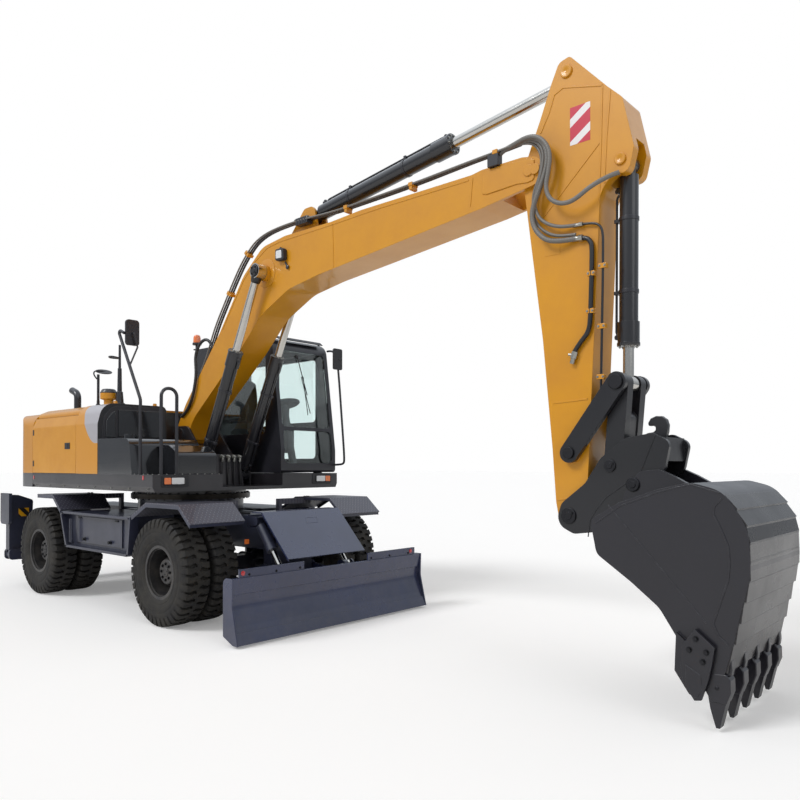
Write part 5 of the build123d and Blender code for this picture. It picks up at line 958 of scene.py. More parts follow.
mesh = made(
    (brick, (121, 130), (-1010, -470), (1872, 1880)),
    (brick, (121, 130), (-1160, -1040), (1862, 1870)),
)
piece("hood_front_sills", mesh, "house", black_enamel, 2)
mesh = made(*[
    (slab, [(1238, z), (1246, z + 8), (1246, z + 130), (1238, z + 150)], "x", x, x + 26)
    for x in range(-1450, -650, 50) for z in (1600, 1790)
])
piece("left_door_louvres", mesh, "engine_door_left", moulded_plastic, 2)
mesh = made(
    (brick, (-700, -600), (1238, 1246), (1760, 1832)),
    (brick, (-690, -640), (1245, 1250), (1768, 1824)),
)
piece("left_door_latch", mesh, "engine_door_left", moulded_plastic, 3)

# Rear: tail lamps and air slots on the counterweight
mesh = bmesh.new()
red = bmesh.new()
for y in (-430, 430):
    brick(mesh, (-2402, -2392), (y - 120, y + 120), (1345, 1425))
    brick(red, (-2408, -2401), (y - 108, y + 108), (1355, 1415))
for z in range(1600, 1838, 34):
    brick(mesh, (-2404, -2394), (-300, 300), (z, z + 12))
piece("tail_lamp_housings", mesh, "house", moulded_plastic, 2)
piece("tail_lamp_lenses", red, "house", red_lens, 3)

# Hood top: small round mirror on its post, mast with its ring, caps
UP = (0, 0, 1)
pipes("hood_mirror_post", [
    (15, [(-372, -1000, 2262), (-372, -1000, 2420), (-372, -1000, 2610), (-372, -1000, 2625)]),
    (8, [
        (-372, -1000, 2560), (-372, -1040, 2590), (-372, -1060, 2645), (-372, -1020, 2668),
        (-372, -940, 2672), (-372, -900, 2660),
    ]),
], "house", black_enamel)
rows = [(-6, 0), (-6, 40), (2, 88), (8, 92), (12, 88), (12, 0)]
mesh = made(
    (turned, rows, (-372, -935, 2655), (0.35, -0.1, 0.93), 36),
    (turned, [(0, 26), (14, 26), (20, 17), (60, 17)], (-372, -1000, 2262), UP, 20),
)
piece("hood_round_mirror", mesh, "house", moulded_plastic)
rows = [(0, 62), (20, 60), (24, 46), (150, 36), (158, 26), (420, 22), (424, 15), (690, 13), (690, 0)]
piece("hood_mast", made((turned, rows, (-100, -880, 2262), UP, 24)), "house", black_enamel)
pipes("hood_mast_ring", [
    (9, [(-100, -880, 2800), (-60, -960, 2806), (-100, -1010, 2808), (-190, -960, 2806), (-160, -880, 2802),
         (-104, -872, 2800)]),
], "house", black_enamel)
rows = [(0, 34), (6, 34), (10, 22), (30, 20), (34, 12), (34, 0)]
mesh = made(*[(turned, rows, (x, y, 2260), UP, 20) for x, y in ((-330, -520), (40, -520), (40, -1000))])
piece("hood_caps", mesh, "house", clamp_enamel)

# House front: right mirror's glass, and the four fittings on the bulkhead with their lines
mesh = made((slab, [(-1222, 2826), (-1104, 2832), (-1100, 3080), (-1212, 3084)], "x", 693, 699))
piece("right_mirror_glass", mesh, "house", mirror, 1)
FITTING_YS = (-95, -10, 66, 146)
mesh = bmesh.new()
for y in FITTING_YS:
    for rows, x, way, steps in (
        ([(0, 24), (18, 24)], 757, (1, 0, 0), 6),
        ([(18, 15), (44, 15), (50, 10), (50, 0)], 757, (1, 0, 0), 18),
        ([(-14, 0), (-14, 14), (0, 17), (36, 15)], 784, (0, 0, -1), 18),
        ([(36, 19), (56, 19), (56, 11), (62, 11), (62, 0)], 784, (0, 0, -1), 6),
    ):
        turned(mesh, rows, (x, y, 1672), way, steps)
piece("bulkhead_fittings", mesh, "house", zinc_plate, 1)
pipes("bulkhead_lines", [
    (9, [(784, y, 1614), (784, y, 1560), (780, y, 1500), (774, y * 1.05, 1420), (770, y * 1.1, 1345)])
    for y in FITTING_YS
], "house", cylinder_enamel)


# Tools for the working arm: lines and plates that lie on flat sides
def ribbon(mesh, points, width, y, proud):
    """Flat strip along (x, z) points on a side plane, standing out by a little."""
    left, right = [], []
    for i, (x, z) in enumerate(points):
        back = Vector(points[max(i - 1, 0)])
        ahead = Vector(points[min(i + 1, len(points) - 1)])
        way = (ahead - back).normalized()
        across = Vector((-way.y, way.x)) * (width / 2)
        left.append((x + across.x, z + across.y))
        right.append((x - across.x, z - across.y))
    slab(mesh, left + right[::-1], "y", y, y + proud)


def faces_of(name):
    """Ray tree over one CAD part's own mesh."""
    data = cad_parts[name].data
    corners = [vertex.co[:] for vertex in data.vertices]
    return BVHTree.FromPolygons(corners, [face.vertices[:] for face in data.polygons])


def laid(mesh, faces, points, width, y, proud):
    """Ribbon that is laid only where the part's flat side really is."""
    run = []
    side = 1 if y > 0 else -1
    for (x0, z0), (x1, z1) in zip(points, points[1:]):
        count = max(2, int(math.hypot(x1 - x0, z1 - z0) / 24))
        for i in range(count + 1):
            x = x0 + (x1 - x0) * i / count
            z = z0 + (z1 - z0) * i / count
            hit = faces.ray_cast(at(x, side * 900, z), Vector((0, -side, 0)))[0]
            if hit and abs(hit.y * 1000 - y) < 2:
                if not run or math.hypot(x - run[-1][0], z - run[-1][1]) > 1:
                    run.append((x, z))
                continue
            if len(run) > 2:
                ribbon(mesh, run, width, y, proud)
            run = []
    if len(run) > 2:
        ribbon(mesh, run, width, y, proud)


def tilted(mesh, place, way, length, height, y_low, y_high):
    """Block in the machine's side plane, turned along a direction."""
    way = Vector(way).normalized() * (length / 2)
    up = Vector((-way.y, way.x)).normalized() * (height / 2)
    spot = Vector(place)
    slab(mesh, [spot - way - up, spot + way - up, spot + way + up, spot - way + up], "y", y_low, y_high)


def tube_mesh(path, radius, sides=14, rib_pitch=0.0, rib_depth=0.0):
    """Tube round a path of points in metres; ribs make it a spiral-wrapped hose."""
    lengths = [0.0]
    for first, second in zip(path, path[1:]):
        lengths.append(lengths[-1] + (second - first).length)
    count = max(8, int(lengths[-1] / (rib_pitch / 4 if rib_pitch else 0.02)))
    mesh = bmesh.new()
    rings = []
    side = None
    j = 0
    for i in range(count + 1):
        target = lengths[-1] * i / count
        while j < len(path) - 2 and lengths[j + 1] < target:
            j += 1
        way = path[j + 1] - path[j]
        share = (target - lengths[j]) / max(way.length, 1e-9)
        spot = path[j] + way * share
        way.normalize()
        side = way.orthogonal() if side is None else side - way * side.dot(way)
        side.normalize()
        ring_radius = radius - (rib_depth if rib_pitch and i % 4 == 0 else 0)
        spots = round_spots(spot, side, way.cross(side), ring_radius, sides)
        rings.append([mesh.verts.new(each) for each in spots])
    capped(mesh, rings)
    return closed("tube", mesh), lengths[-1]


def hose(name, points, diameter, material, bodies, span=None, ribs=0.0):
    """Free hose on one body, or, given a span, a hose over the joint of two bodies that stays where it is
    drawn on neither body.
    """
    line = curve_mesh(name, points)
    path = [vertex.co.copy() for vertex in line.vertices]
    bpy.data.meshes.remove(line)
    data, length = tube_mesh(path, diameter / 2000, 14, ribs, 0.0016 if ribs else 0.0)
    item = show(name, data, None, material, angle=60)
    if span:
        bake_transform(item)
    else:
        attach(item, *bodies)


def fitting(mesh, place, axis, radius, length):
    """Hexagon nut with a round collar on a hose's or pipe's end."""
    turned(mesh, [(0, radius * 1.5), (length * 0.45, radius * 1.5)], place, axis, 6)
    turned(mesh, [(length * 0.45, radius * 1.2), (length, radius * 1.2)], place, axis, 16)


# Boom: three steel lines along its top edge, in clamps, with the line block halfway
LINE_YS = (-112, -140, -168)
# from here on the lines run further out, clear of the arm
TIP_X = 4200
BOOM_LINE = [
    (451, 2664), (554, 2794), (714, 3123), (947, 3432), (1098, 3632), (1282, 3842), (1548, 4028),
    (2079, 4061), (2679, 4025), (2888, 4024), (3706, 4033), (4356, 4038), (4620, 4044), (4833, 4053),
]
for y, tip_y, radius, tone, name in zip(
    LINE_YS, (-162, -184, -204), (11, 10, 9), (cylinder_enamel, cylinder_enamel, hose_rubber),
    ("inner", "middle", "outer"),
):
    line = [(x, tip_y if x > TIP_X else y, z) for x, z in BOOM_LINE]
    pipes(f"boom_pipe_{name}", [(radius, line)], "boom_body", tone)
mesh = bmesh.new()
screws = []
for x, z, way in (
    (1000, 3500, (166, 205)), (1330, 3890, (266, 186)), (2888, 4024, (1, 0)), (3706, 4033, (1, 0.01)),
    (4620, 4044, (1, 0.03)),
):
    spot = Vector((x, z))
    up = Vector((-way[1], way[0])).normalized()
    low, high = (-220, -151) if x > TIP_X else (-184, -98)
    tilted(mesh, spot, way, 46, 34, low, high)
    tilted(mesh, spot - up * 32, way, 34, 34, low + 6, high - 2)
    top = spot + up * 17
    screws += [((top.x, y, top.y), (up.x, 0, up.y)) for y in (low + 58, low + 30)]
piece("boom_line_clamps", mesh, "boom_body", clamp_enamel, 4)
bolts("boom_clamp_bolts", screws, "boom_body", zinc_plate, 7, 6, 10)
mesh = made(
    (brick, (2150, 2330), (-172, -96), (4006, 4078)),
    *[(brick, (x, x + 22), (-178, -90), (4016, 4068)) for x in (2168, 2208, 2248, 2288)],
    (brick, (4548, 4650), (-216, -152), (3936, 4030)),
)
piece("boom_line_block", mesh, "boom_body", black_enamel, 4)
mesh = made(*[
    (turned, [(0, 15), (14, 15)], (x, y, 4058), (1, 0, 0), 6) for x in (2140, 2326) for y in LINE_YS
])
piece("boom_block_nuts", mesh, "boom_body", zinc_plate, 1)

# Boom: weld seams, tip plates, bosses, work lamp
BOOM_SIDE = 180
BOOM_SEAMS = (
    [(2713, 3900), (2727, 3479)],
    [(4379, 3910), (4355, 3680)],
    [
        (900, 3104), (1100, 3360), (1300, 3602), (1500, 3764), (1700, 3866), (1900, 3892), (2700, 3896),
        (3300, 3908), (4340, 3900),
    ],
)
TIP_PLATE = [
    (4476, 3752), (4520, 3738), (4800, 3748), (4900, 3736), (4946, 3742), (4960, 3760), (4960, 3896),
    (4930, 3914), (4800, 3926), (4500, 3932), (4484, 3916),
]
boom_faces = faces_of("boom")
seams = bmesh.new()
plates = bmesh.new()
bosses = bmesh.new()
for side in (-1, 1):
    y = side * BOOM_SIDE
    out = (0, side, 0)
    for points in BOOM_SEAMS:
        laid(seams, boom_faces, points, 11, y, side * 4)
    slab(plates, TIP_PLATE, "y", y, y + side * 8)
    turned(plates, [(0, 46), (9, 46), (12, 42), (12, 0)], (4912, y + side * 7, 3826), out, 32)
    turned(bosses, [(0, 150), (5, 148), (7, 140), (7, 0)], (1690, y, 3600), out, 48)
piece("boom_tip_plates", plates, "boom_body", yellow_enamel, 3)
piece("boom_weld_seams", seams, "boom_body", yellow_enamel, 1.2)
piece("boom_bosses", bosses, "boom_body", yellow_enamel, 1.5)
mesh = made(
    (tilted, (1940, 3800), (-0.35, 0.9), 60, 20, -190, -180),
    (tilted, (2030, 3630), (0.5, -0.75), 80, 18, -190, -180),
    (turned, [(0, 22), (10, 22), (14, 16), (14, 0)], (2052, -188, 3600), (0, -1, 0), 18),
)
piece("boom_lamp_bracket", mesh, "boom_body", black_enamel, 2)
rim = [
    (1916, 3682), (2022, 3672), (2036, 3686), (2030, 3784), (2014, 3798), (1916, 3802), (1902, 3788),
    (1902, 3696),
]
mesh = made((slab, rim, "y", -236, -180))
piece("boom_work_lamp", mesh, "boom_body", moulded_plastic, 12, 4)
rim = [
    (1930, 3700), (2004, 3694), (2012, 3702), (2008, 3768), (1998, 3778), (1932, 3780), (1922, 3770),
    (1922, 3708),
]
piece("boom_work_lamp_lens", made((slab, rim, "y", -241, -235)), "boom_body", clear_lens, 2)
hose("boom_to_house_hose", [
    (690, -160, 2918), (672, -164, 2944), (640, -176, 3000), (590, -190, 3028), (520, -196, 3016),
    (450, -198, 2968), (400, -200, 2890), (388, -202, 2810), (402, -204, 2720), (410, -206, 2632),
    (388, -206, 2520), (348, -206, 2401), (300, -204, 2320), (242, -200, 2254), (170, -198, 2196),
    (91, -196, 2154),
], 36, black_hose, ("boom_body",), None, 0.018)

# Arm: weld beads, reflective film, pin discs
ARM_SIDE = 145
ARM_SEAMS = (
    [(4991, 4097), (5067, 4235), (5110, 4353), (5184, 4384), (5500, 4292)],
    [(5500, 4292), (5489, 3901), (5472, 3473)],
    [(5560, 4240), (5530, 3900), (5512, 3560)],
    [(5474, 3884), (5011, 3448)],
    [(5096, 2037), (5380, 2052)],
    [(5130, 1311), (5289, 1341)],
)
arm_faces = faces_of("arm")
seams = bmesh.new()
film = bmesh.new()
discs = bmesh.new()
for side in (-1, 1):
    y = side * ARM_SIDE
    for points in ARM_SEAMS:
        laid(seams, arm_faces, points, 12, y, side * 4)
    brick(seams, (5030, 5159), (y, y + side * 2), (3148, 3370))
    brick(film, (5243, 5405), (y, y + side * 1.2), (3930, 4210))
    for x, z, radius in ((5214, 4494, 48), (5635, 3725, 42)):
        rows = [(0, radius), (12, radius), (16, radius - 5), (16, radius * 0.3), (14, radius * 0.22), (14, 0)]
        turned(discs, rows, (x, y, z), (0, side, 0), 36)
piece("arm_weld_seams", seams, "arm_body", yellow_enamel, 1)
piece("arm_reflective_film", film, "arm_body", red_white)
piece("arm_pin_discs", discs, "arm_body", yellow_enamel, 1.5)

# Arm: steel lines down its right side with a shut-off valve and clamps
PIPE_Y = -168
ARM_LINES = (
    (17, [(5357, 3220), (5390, 3212), (5416, 3185), (5428, 3147), (5424, 2950), (5418, 2759), (5412, 2600),
          (5395, 2530), (5350, 2480), (5314, 2440), (5280, 2390)]),
    (9, [(5357, 3321), (5440, 3312), (5490, 3285), (5513, 3230), (5513, 3100), (5511, 2900), (5506, 2700),
         (5500, 2400), (5496, 2200), (5492, 2040)]),
)
routes = [(radius, [(x, PIPE_Y, z) for x, z in line]) for radius, line in ARM_LINES]
pipes("arm_pipes", routes, "arm_body", casting_enamel)
mesh = bmesh.new()
spots = []
for x, z in ((5424, 2950), (5512, 2990), (5503, 2560), (5496, 2200), (5416, 2680)):
    brick(mesh, (x - 30, x + 30), (-184, -145), (z - 18, z + 18))
    spots += [((x + step, -184, z), (0, -1, 0)) for step in (-20, 20)]
piece("arm_pipe_clamps", mesh, "arm_body", clamp_enamel, 4)
bolts("arm_clamp_bolts", spots, "arm_body", zinc_plate, 6, 5, 9)
mesh = made(
    (turned, [(0, 24), (50, 24)], (5292, PIPE_Y, 2400), (-0.3, 0, -1), 6),
    (turned, [(50, 18), (90, 18)], (5292, PIPE_Y, 2400), (-0.3, 0, -1), 16),
    (turned, [(0, 10), (46, 10), (46, 0)], (5284, PIPE_Y, 2376), (-1, 0, 0.2), 12),
    (fitting, (5357, PIPE_Y, 3220), (-1, 0, 0.1), 17, 76),
    (fitting, (5357, PIPE_Y, 3321), (-1, 0, 0.05), 12, 76),
    (fitting, (5492, PIPE_Y, 2046), (0, 0, -1), 15, 46),
)
piece("arm_line_fittings", mesh, "arm_body", zinc_plate, 1)

# Hoses that cross from boom to arm: (name, diameter, rib pitch, material, route after the shared start)
HOSE_START = [(4566, PIPE_Y, 3968), (4596, PIPE_Y, 3984), (4628, PIPE_Y, 4020)]


def beside(points, y, first, last):
    """Hose route at one y, led in from its first places and out to its last two."""
    route = [(x, y, z) for x, z in points]
    for i, place in (*enumerate(first), *zip((-2, -1), last)):
        route[i] = (route[i][0], place, route[i][2])
    return route


for name, diameter, ribs, tone, points in (
    ("a", 38, 0.02, hose_rubber, beside([
        (4665, 4048), (4790, 4059), (4898, 4058), (4986, 4047), (5063, 3986), (5097, 3901), (5096, 3804),
        (5045, 3668), (4984, 3548), (4958, 3440), (5001, 3325), (5095, 3238), (5200, 3222), (5311, 3225),
    ], -226, (-172, -192), (-197, PIPE_Y))),
    ("c", 26, 0.0, hose_rubber, beside([
        (4665, 4043), (4777, 4054), (4885, 4053), (4973, 4034), (5034, 3971), (5059, 3888), (5033, 3752),
        (4981, 3614), (4972, 3518), (5024, 3415), (5126, 3348), (5220, 3325), (5311, 3325),
    ], -204, (-172, -192), (-186, PIPE_Y))),
    ("d", 24, 0.0, hose_rubber, beside([
        (4665, 4040), (4797, 4050), (4880, 4046), (4955, 4020), (5010, 3955), (5030, 3870), (5010, 3752),
        (4963, 3660), (4950, 3581), (4950, 3467), (5000, 3370), (5100, 3290), (5200, 3262), (5300, 3258),
    ], -186, (-172, -192), (-177, PIPE_Y))),
    ("b", 34, 0.02, hose_rubber, [
        (4668, -176, 4046), (4803, -205, 4056),
        *[(x, -244, z) for x, z in (
            (4928, 4057), (5024, 4036), (5100, 3961), (5134, 3862), (5116, 3741), (5091, 3636),
            (5124, 3538), (5215, 3479), (5321, 3476), (5454, 3550),
        )],
        (5580, -190, 3612), (5630, -158, 3628),
    ]),
):
    hose(
        f"tip_hose_{name}", HOSE_START + points, diameter, tone, ("boom_body", "arm_body"),
        ((4960, -220, 3960), (5040, -220, 3560)), ribs,
    )


# Bucket: stepped wear plates down its back, dark strips as painted shadow at each step between plates, weld
# beads, tooth adapters and cutter bolts
bucket_faces = faces_of("bucket")
PLATE_HEIGHTS = (1396, 1310, 1215, 1120, 1015, 900, 775, 650, 525, 352)
# the plates stay inside the CAD model's own length
FURTHEST = (cad_box[1][0] + MIDDLE_X) * 1000 - 0.3


def bucket_back(z):
    """X of the bucket's back at a height, in machine millimetres."""
    hit = bucket_faces.ray_cast(at(7000, 60, z), Vector((-1, 0, 0)))[0]
    return (hit.x + MIDDLE_X) * 1000


plates = bmesh.new()
step_shadow_strips = bmesh.new()
for top, bottom in zip(PLATE_HEIGHTS, PLATE_HEIGHTS[1:]):
    low = bottom + 7
    heights = [top + (low - top) * i / 4 for i in range(5)]
    backs = [(bucket_back(z), z) for z in heights]
    upper = min(backs[0][0] + 2, FURTHEST)
    lower = min(backs[-1][0] + 14, FURTHEST)
    short = max(0, *[x + 1.5 - (upper + (lower - upper) * i / 4) for i, (x, z) in enumerate(backs)])
    upper = min(upper + short, FURTHEST)
    lower = min(lower + short, FURTHEST)
    slab(plates, [(x - 3, z) for x, z in backs] + [(lower, low), (upper, top)], "y", -541, 541)
    # a dark strip at each step between plates: painted shadow where the step would shade
    if top != PLATE_HEIGHTS[0]:
        brick(step_shadow_strips, (upper - 6, min(upper + 1.5, FURTHEST + 0.2)), (-540, 540), (top - 5, top + 8))
piece("bucket_step_painted_shadows", step_shadow_strips, "bucket_body", casting_enamel)
piece("bucket_wear_plates", plates, "bucket_body", wear_enamel, 1.2, angle=12)
mesh = bmesh.new()
for side in (-1, 1):
    for points, width, proud in (
        ([(6441, 1377), (6400, 1330), (6393, 1287), (6440, 1190), (6477, 1097), (6484, 1000), (6476, 903),
          (6430, 760), (6390, 640), (6420, 570), (6475, 525)], 11, 4),
        ([(5731, 1312), (6352, 634)], 9, 2.5),
        ([(5640, 1190), (5810, 1310), (6060, 1405), (6257, 1455), (6432, 1408)], 10, 3),
    ):
        ribbon(mesh, points, width, side * 545, side * proud)
piece("bucket_side_beads", mesh, "bucket_body", bucket_enamel, 1.5)
ADAPTER = [
    (6330, 318), (6352, 346), (6462, 350), (6486, 318), (6488, 246), (6462, 176), (6376, 176), (6340, 236),
]
ADAPTER_EAR = [(6440, 340), (6484, 338), (6490, 380), (6486, 430), (6476, 446), (6462, 440)]
adapters = bmesh.new()
pins = bmesh.new()
for y in (-500, -250, 0, 250, 500):
    slab(adapters, ADAPTER, "y", y - 46, y + 46)
    slab(adapters, ADAPTER_EAR, "y", y - 27, y + 27)
    for side in (-1, 1):
        turned(pins, [(-6, 12), (3, 12), (5, 9), (5, 0)], (6410, y + side * 46, 262), (0, side, 0), 14)
piece("tooth_adapters", adapters, "bucket_body", bucket_enamel, 13, 4)
piece("tooth_pins", pins, "bucket_body", black_bolt)
CUTTER = [
    (6214, 488), (6294, 596), (6409, 505), (6392, 400), (6370, 299), (6330, 180), (6290, 172), (6223, 270),
    (6205, 380),
]
CUTTER_PAD = [(6240, 380), (6330, 330), (6336, 250), (6310, 196), (6284, 190), (6240, 270)]
mesh = bmesh.new()
for side in (-1, 1):
    slab(mesh, CUTTER, "y", side * 558, side * 581)
    slab(mesh, CUTTER_PAD, "y", side * 580, side * 586)
piece("side_cutters", mesh, "bucket_body", bucket_enamel, 4, 3)
spots = [
    ((x, side * 581, z), (0, side, 0)) for side in (-1, 1)
    for x, z in ((6262, 470), (6300, 540), (6361, 470), (6341, 411))
]
bolts("cutter_bolts", spots, "bucket_body", black_bolt, 13, 11, 19)

# Quick coupler: edge bead, lifting hook, pin heads; rocker pin heads
edge = [
    (5897, 1774), (5840, 1640), (5792, 1516), (5680, 1440), (5548, 1350), (5470, 1260), (5419, 1180),
    (5406, 1060),
]
mesh = made(*[(ribbon, edge, 9, side * 193, side * 3) for side in (-1, 1)])
piece("coupler_edge_beads", mesh, "bucket_body", casting_enamel, 1)
hook = [
    (5762, 1766), (5900, 1762), (5912, 1800), (5916, 1850), (5904, 1888), (5872, 1912), (5832, 1914),
    (5794, 1898), (5776, 1868), (5778, 1850), (5790, 1844), (5800, 1851), (5816, 1848), (5829, 1837),
    (5829, 1816), (5812, 1802), (5764, 1796),
]
mesh = made((slab, hook, "y", -23, 23))
piece("coupler_lifting_hook", mesh, "bucket_body", casting_enamel, 7, 3)
coupler = bmesh.new()
rocker = bmesh.new()
for side in (-1, 1):
    for x, z, y, r in ((5251, 1203, 193, 60), (5573, 1568, 193, 44), (5760, 1440, 234, 48)):
        rows = [(0, r), (9, r), (13, r - 5), (13, r * 0.5), (18, r * 0.45), (18, 0)]
        turned(coupler, rows, (x, side * y, z), (0, side, 0), 36)
    for x, z, r in ((5257, 1662, 44), (5623, 2153, 52)):
        turned(rocker, [(0, r), (8, r), (12, r - 5), (12, 0)], (x, side * 212, z), (0, side, 0), 32)
piece("coupler_pin_heads", coupler, "bucket_body", black_bolt, 1)
spots = [((x, side * 206, z), (0, side, 0)) for side in (-1, 1) for x, z in ((5281, 1222), (5597, 1583))]
bolts("coupler_pin_bolts", spots, "bucket_body", black_bolt, 8, 7, 12)
piece("rocker_pin_heads", rocker, "rocker", black_bolt, 1)

# Cylinders: gland bolts, port blocks, return lines in their clamps
BOOM_FOOT = (640, 1450)
BOOM_EYE = (1690, 3600)
for name, body, foot, eye, y, radius, length, rod_radius, lift in (
    ("arm", "arm_cylinder_barrel", (2260, 4120), (5214, 4494), 0, 75, 1800, 45, 1),
    ("bucket", "bucket_cylinder_barrel", (5635, 3725), (5623, 2153), 0, 66, 1300, 38, -1),
    ("boom_right", "boom_cylinder_barrels", BOOM_FOOT, BOOM_EYE, -285, 68, 1509, 42, -1),
    ("boom_left", "boom_cylinder_barrels", BOOM_FOOT, BOOM_EYE, 285, 68, 1509, 42, -1),
):
    way = (Vector(eye) - Vector(foot)).normalized()
    up = Vector((-way.y, way.x)) * lift

    def on_line(distance, out=0.0):
        spot = Vector(foot) + way * distance + up * out
        return (spot.x, y, spot.y)

    axis = (way.x, 0, way.y)
    out = (up.x, 0, up.y)
    collar = radius * 1.22
    head = [(0, collar), (22, collar), (26, radius * 1.18), (26, rod_radius + 2)]
    sleeve = [(0, radius), (5, radius * 1.15), (146, radius * 1.15), (150, collar)]
    fittings = made(
        (turned, head, on_line(length - 24), axis, 40), (turned, sleeve, on_line(length - 170), axis, 40),
    )
    for place in (170, length - 70):
        turned(fittings, [(0, 30), (26, 30), (30, 24), (30, 0)], on_line(place, radius - 6), out, 4)
        turned(fittings, [(0, 17), (14, 17)], on_line(place, radius + 22), out, 6)
    piece(f"cylinder_fittings_{name}", fittings, body, cylinder_enamel, 2)
    screws = circle(on_line(length + 2), axis, (radius * 1.2 + rod_radius) / 2 + 4, 10)
    bolts(f"gland_bolts_{name}", screws, body, zinc_plate, 7, 7, 10)
    port, line = radius + 6, radius + 26
    route = [on_line(*place) for place in (
        (200, port), (214, line), (260, line), (length * 0.5, line), (length - 130, line),
        (length - 96, line), (length - 84, port),
    )]
    pipes(f"cylinder_line_{name}", [(9, route)], body, cylinder_enamel)
    inside, outside = radius - 2, radius + 5
    band = [(-14, outside), (14, outside), (14, inside), (-14, inside), (-14, outside)]
    clamps = bmesh.new()
    for place in (length * 0.3, length * 0.7):
        turned(clamps, band, on_line(place), axis, 40)
        tilted(clamps, Vector(foot) + way * place + up * (radius + 18), way, 26, 44, y - 20, y + 20)
    piece(f"cylinder_clamps_{name}", clamps, body, black_enamel, 2)

# Boom cylinder rods: black cast eyes with their bolted caps
eyes = bmesh.new()
caps = []
eye_x, eye_z = BOOM_EYE
way = (BOOM_FOOT[0] - eye_x, 0, BOOM_FOOT[1] - eye_z)
for side in (-1, 1):
    out = (0, side, 0)
    for rows, y, axis, steps in (
        ([(-46, 66), (-42, 72), (42, 72), (46, 66), (46, 0)], 289, out, 36),
        ([(0, 60), (8, 60), (12, 55), (12, 24), (18, 22), (18, 0)], 335, out, 32),
        ([(30, 58), (76, 56), (118, 48), (124, 42)], 285, way, 32),
    ):
        turned(eyes, rows, (eye_x, side * y, eye_z), axis, steps)
    caps += circle((eye_x, side * 346, eye_z), out, 44, 4)
piece("boom_rod_eyes", eyes, "boom_cylinder_rods", casting_enamel, 2)
bolts("boom_rod_cap_bolts", caps, "boom_cylinder_rods", black_bolt, 8, 6, 11)


# Cab outside: windscreen wiper, beacon, roof lips, mirror
def on_screen(z, lift):
    """X in front of the sloping windscreen at a height."""
    return 1209 - 164 * (z - 1762) / 1218 + lift


mesh = made((turned, [(0, 24), (14, 24), (20, 16), (20, 0)], (1062, 760, 2884), (0.98, 0, 0.17), 20))
piece("wiper_motor_cap", mesh, "house", moulded_plastic)
blade = [(876, 2180), (884, 2180), (812, 2640), (804, 2640)]
mesh = made(
    (bar, (on_screen(2884, 22), 760, 2884), (on_screen(2420, 24), 862, 2420), 6),
    (bar, (on_screen(2640, 18), 800, 2640), (on_screen(2200, 18), 892, 2200), 5),
    (slab, blade, "x", on_screen(2400, 8), on_screen(2400, 14)),
)
piece("windscreen_wiper", mesh, "house", moulded_plastic)
rows = [(0, 46), (10, 46), (14, 20), (64, 20), (68, 58), (92, 58), (96, 52), (96, 0)]
mesh = made((turned, rows, (-534, 410, 3090), UP, 28))
piece("beacon_base", mesh, "house", moulded_plastic, 1)
mesh = made((turned, [(0, 50), (70, 46), (96, 38), (108, 20), (110, 0)], (-534, 410, 3184), UP, 32))
piece("beacon_lens", mesh, "house", amber_lens)
visor = [(985, 3088), (1030, 3096), (1078, 3062), (1084, 3070), (1034, 3106), (985, 3100)]
mesh = made(
    (slab, visor, "y", 470, 1170),
    (brick, (-540, 960), (396, 412), (3088, 3096)),
    (brick, (-540, 960), (1222, 1238), (3088, 3096)),
)
piece("cab_roof_lips", mesh, "house", moulded_plastic, 3)
pipes("cab_mirror_loop", [(13, [
    (1096, 1232, 3000), (1140, 1238, 3004), (1230, 1222, 2980), (1300, 1205, 2900), (1340, 1200, 2700),
    (1390, 1200, 2200), (1430, 1200, 1800), (1440, 1202, 1640), (1400, 1230, 1590), (1300, 1236, 1580),
    (1226, 1236, 1578),
])], "house", black_enamel)
mesh = made(
    (slab, cut_corners((1098, 1246), (2742, 3000), 14), "x", 1336, 1362),
    (turned, [(-6, 22), (14, 20), (22, 0)], (1350, 1196, 2871), (1, 0, 0), 20),
)
piece("cab_mirror_shell", mesh, "house", moulded_plastic, 8, 4)
mesh = made((slab, cut_corners((1112, 1232), (2758, 2984), 4), "x", 1333, 1337))
piece("cab_mirror_glass", mesh, "house", mirror, 1)

# Cab inside: padded seat, armrests, levers, display; heights are over the cab's floor
CAB_Y = (392 + 1245) / 2
FLOOR_Z = 1532


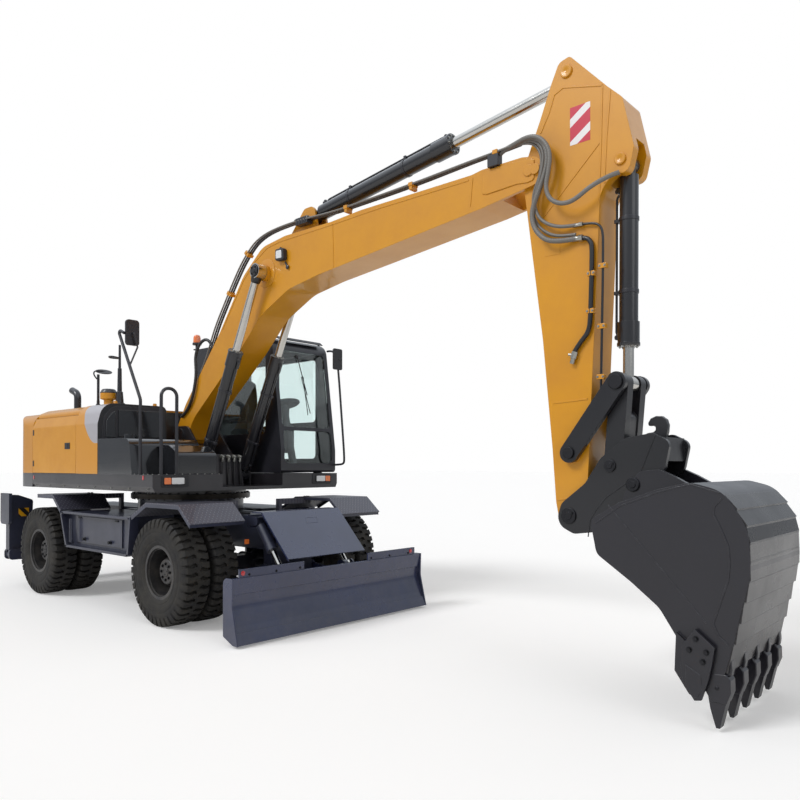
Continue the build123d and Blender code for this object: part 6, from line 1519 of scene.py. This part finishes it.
def pad(name, corners, half_width, crown):
    """Upholstered pad: a crowned, pulled-in form over a side outline of (x, height) corners."""
    outline = [(x, FLOOR_Z + height) for x, height in corners]
    mesh = made((slab, outline, "y", CAB_Y - half_width, CAB_Y + half_width))
    bmesh.ops.subdivide_edges(mesh, edges=mesh.edges[:], cuts=3, use_grid_fill=True)
    middle = sum((vertex.co for vertex in mesh.verts), Vector()) / len(mesh.verts)
    for vertex in mesh.verts:
        share = abs(vertex.co.y - middle.y) / (half_width / 1000)
        away = vertex.co - middle
        away.y = 0
        vertex.co += away * (crown * (1 - share * share))
    item = piece(name, mesh, "house", seat_cloth, 0, angle=80)
    soft = item.modifiers.new("soft", "SUBSURF")
    soft.levels = 2
    soft.render_levels = 2


pad("seat_cushion", [(-150, 434), (372, 446), (388, 480), (360, 506), (-130, 486)], 240, 0.06)
pad("seat_back", [(-58, 470), (-4, 480), (-66, 1130), (-100, 1160), (-128, 1150)], 228, 0.05)
pad("seat_headrest", [(-190, 1180), (-120, 1180), (-130, 1350), (-200, 1350)], 130, 0.08)
mesh = bmesh.new()
for side in (-1, 1):
    y = CAB_Y + side * 315
    for x, half_width, bottom, top in (
        ((30, 360), 40, 600, 640), ((60, 120), 22, 555, 605), ((360, 470), 46, 555, 590),
    ):
        brick(mesh, x, (y - half_width, y + half_width), (FLOOR_Z + bottom, FLOOR_Z + top))
    bar(mesh, (420, y, FLOOR_Z + 580), (438, y, FLOOR_Z + 700), 12)
    bar(mesh, (438, y, FLOOR_Z + 690), (452, y, FLOOR_Z + 800), 24, 16, 20)
    bar(mesh, (-160, y - side * 230, FLOOR_Z + 1140), (-165, y - side * 230, FLOOR_Z + 1220), 8)
screen_y = CAB_Y - 286
brick(mesh, (880, 906), (screen_y - 80, screen_y + 80), (FLOOR_Z + 640, FLOOR_Z + 780))
bar(mesh, (890, screen_y, FLOOR_Z + 100), (890, screen_y, FLOOR_Z + 650), 16)
piece("cab_controls", mesh, "house", moulded_plastic, 8, 3)
mesh = made((brick, (877, 881), (screen_y - 70, screen_y + 70), (FLOOR_Z + 652, FLOOR_Z + 768)))
piece("cab_display", mesh, "house", mirror, 2)

# Cab door: handle
mesh = made((brick, (820, 910), (1246, 1256), (2060, 2110)), (brick, (830, 880), (1255, 1262), (2070, 2100)))
piece("door_handle", mesh, "cab_entry_door", moulded_plastic, 4, 3)
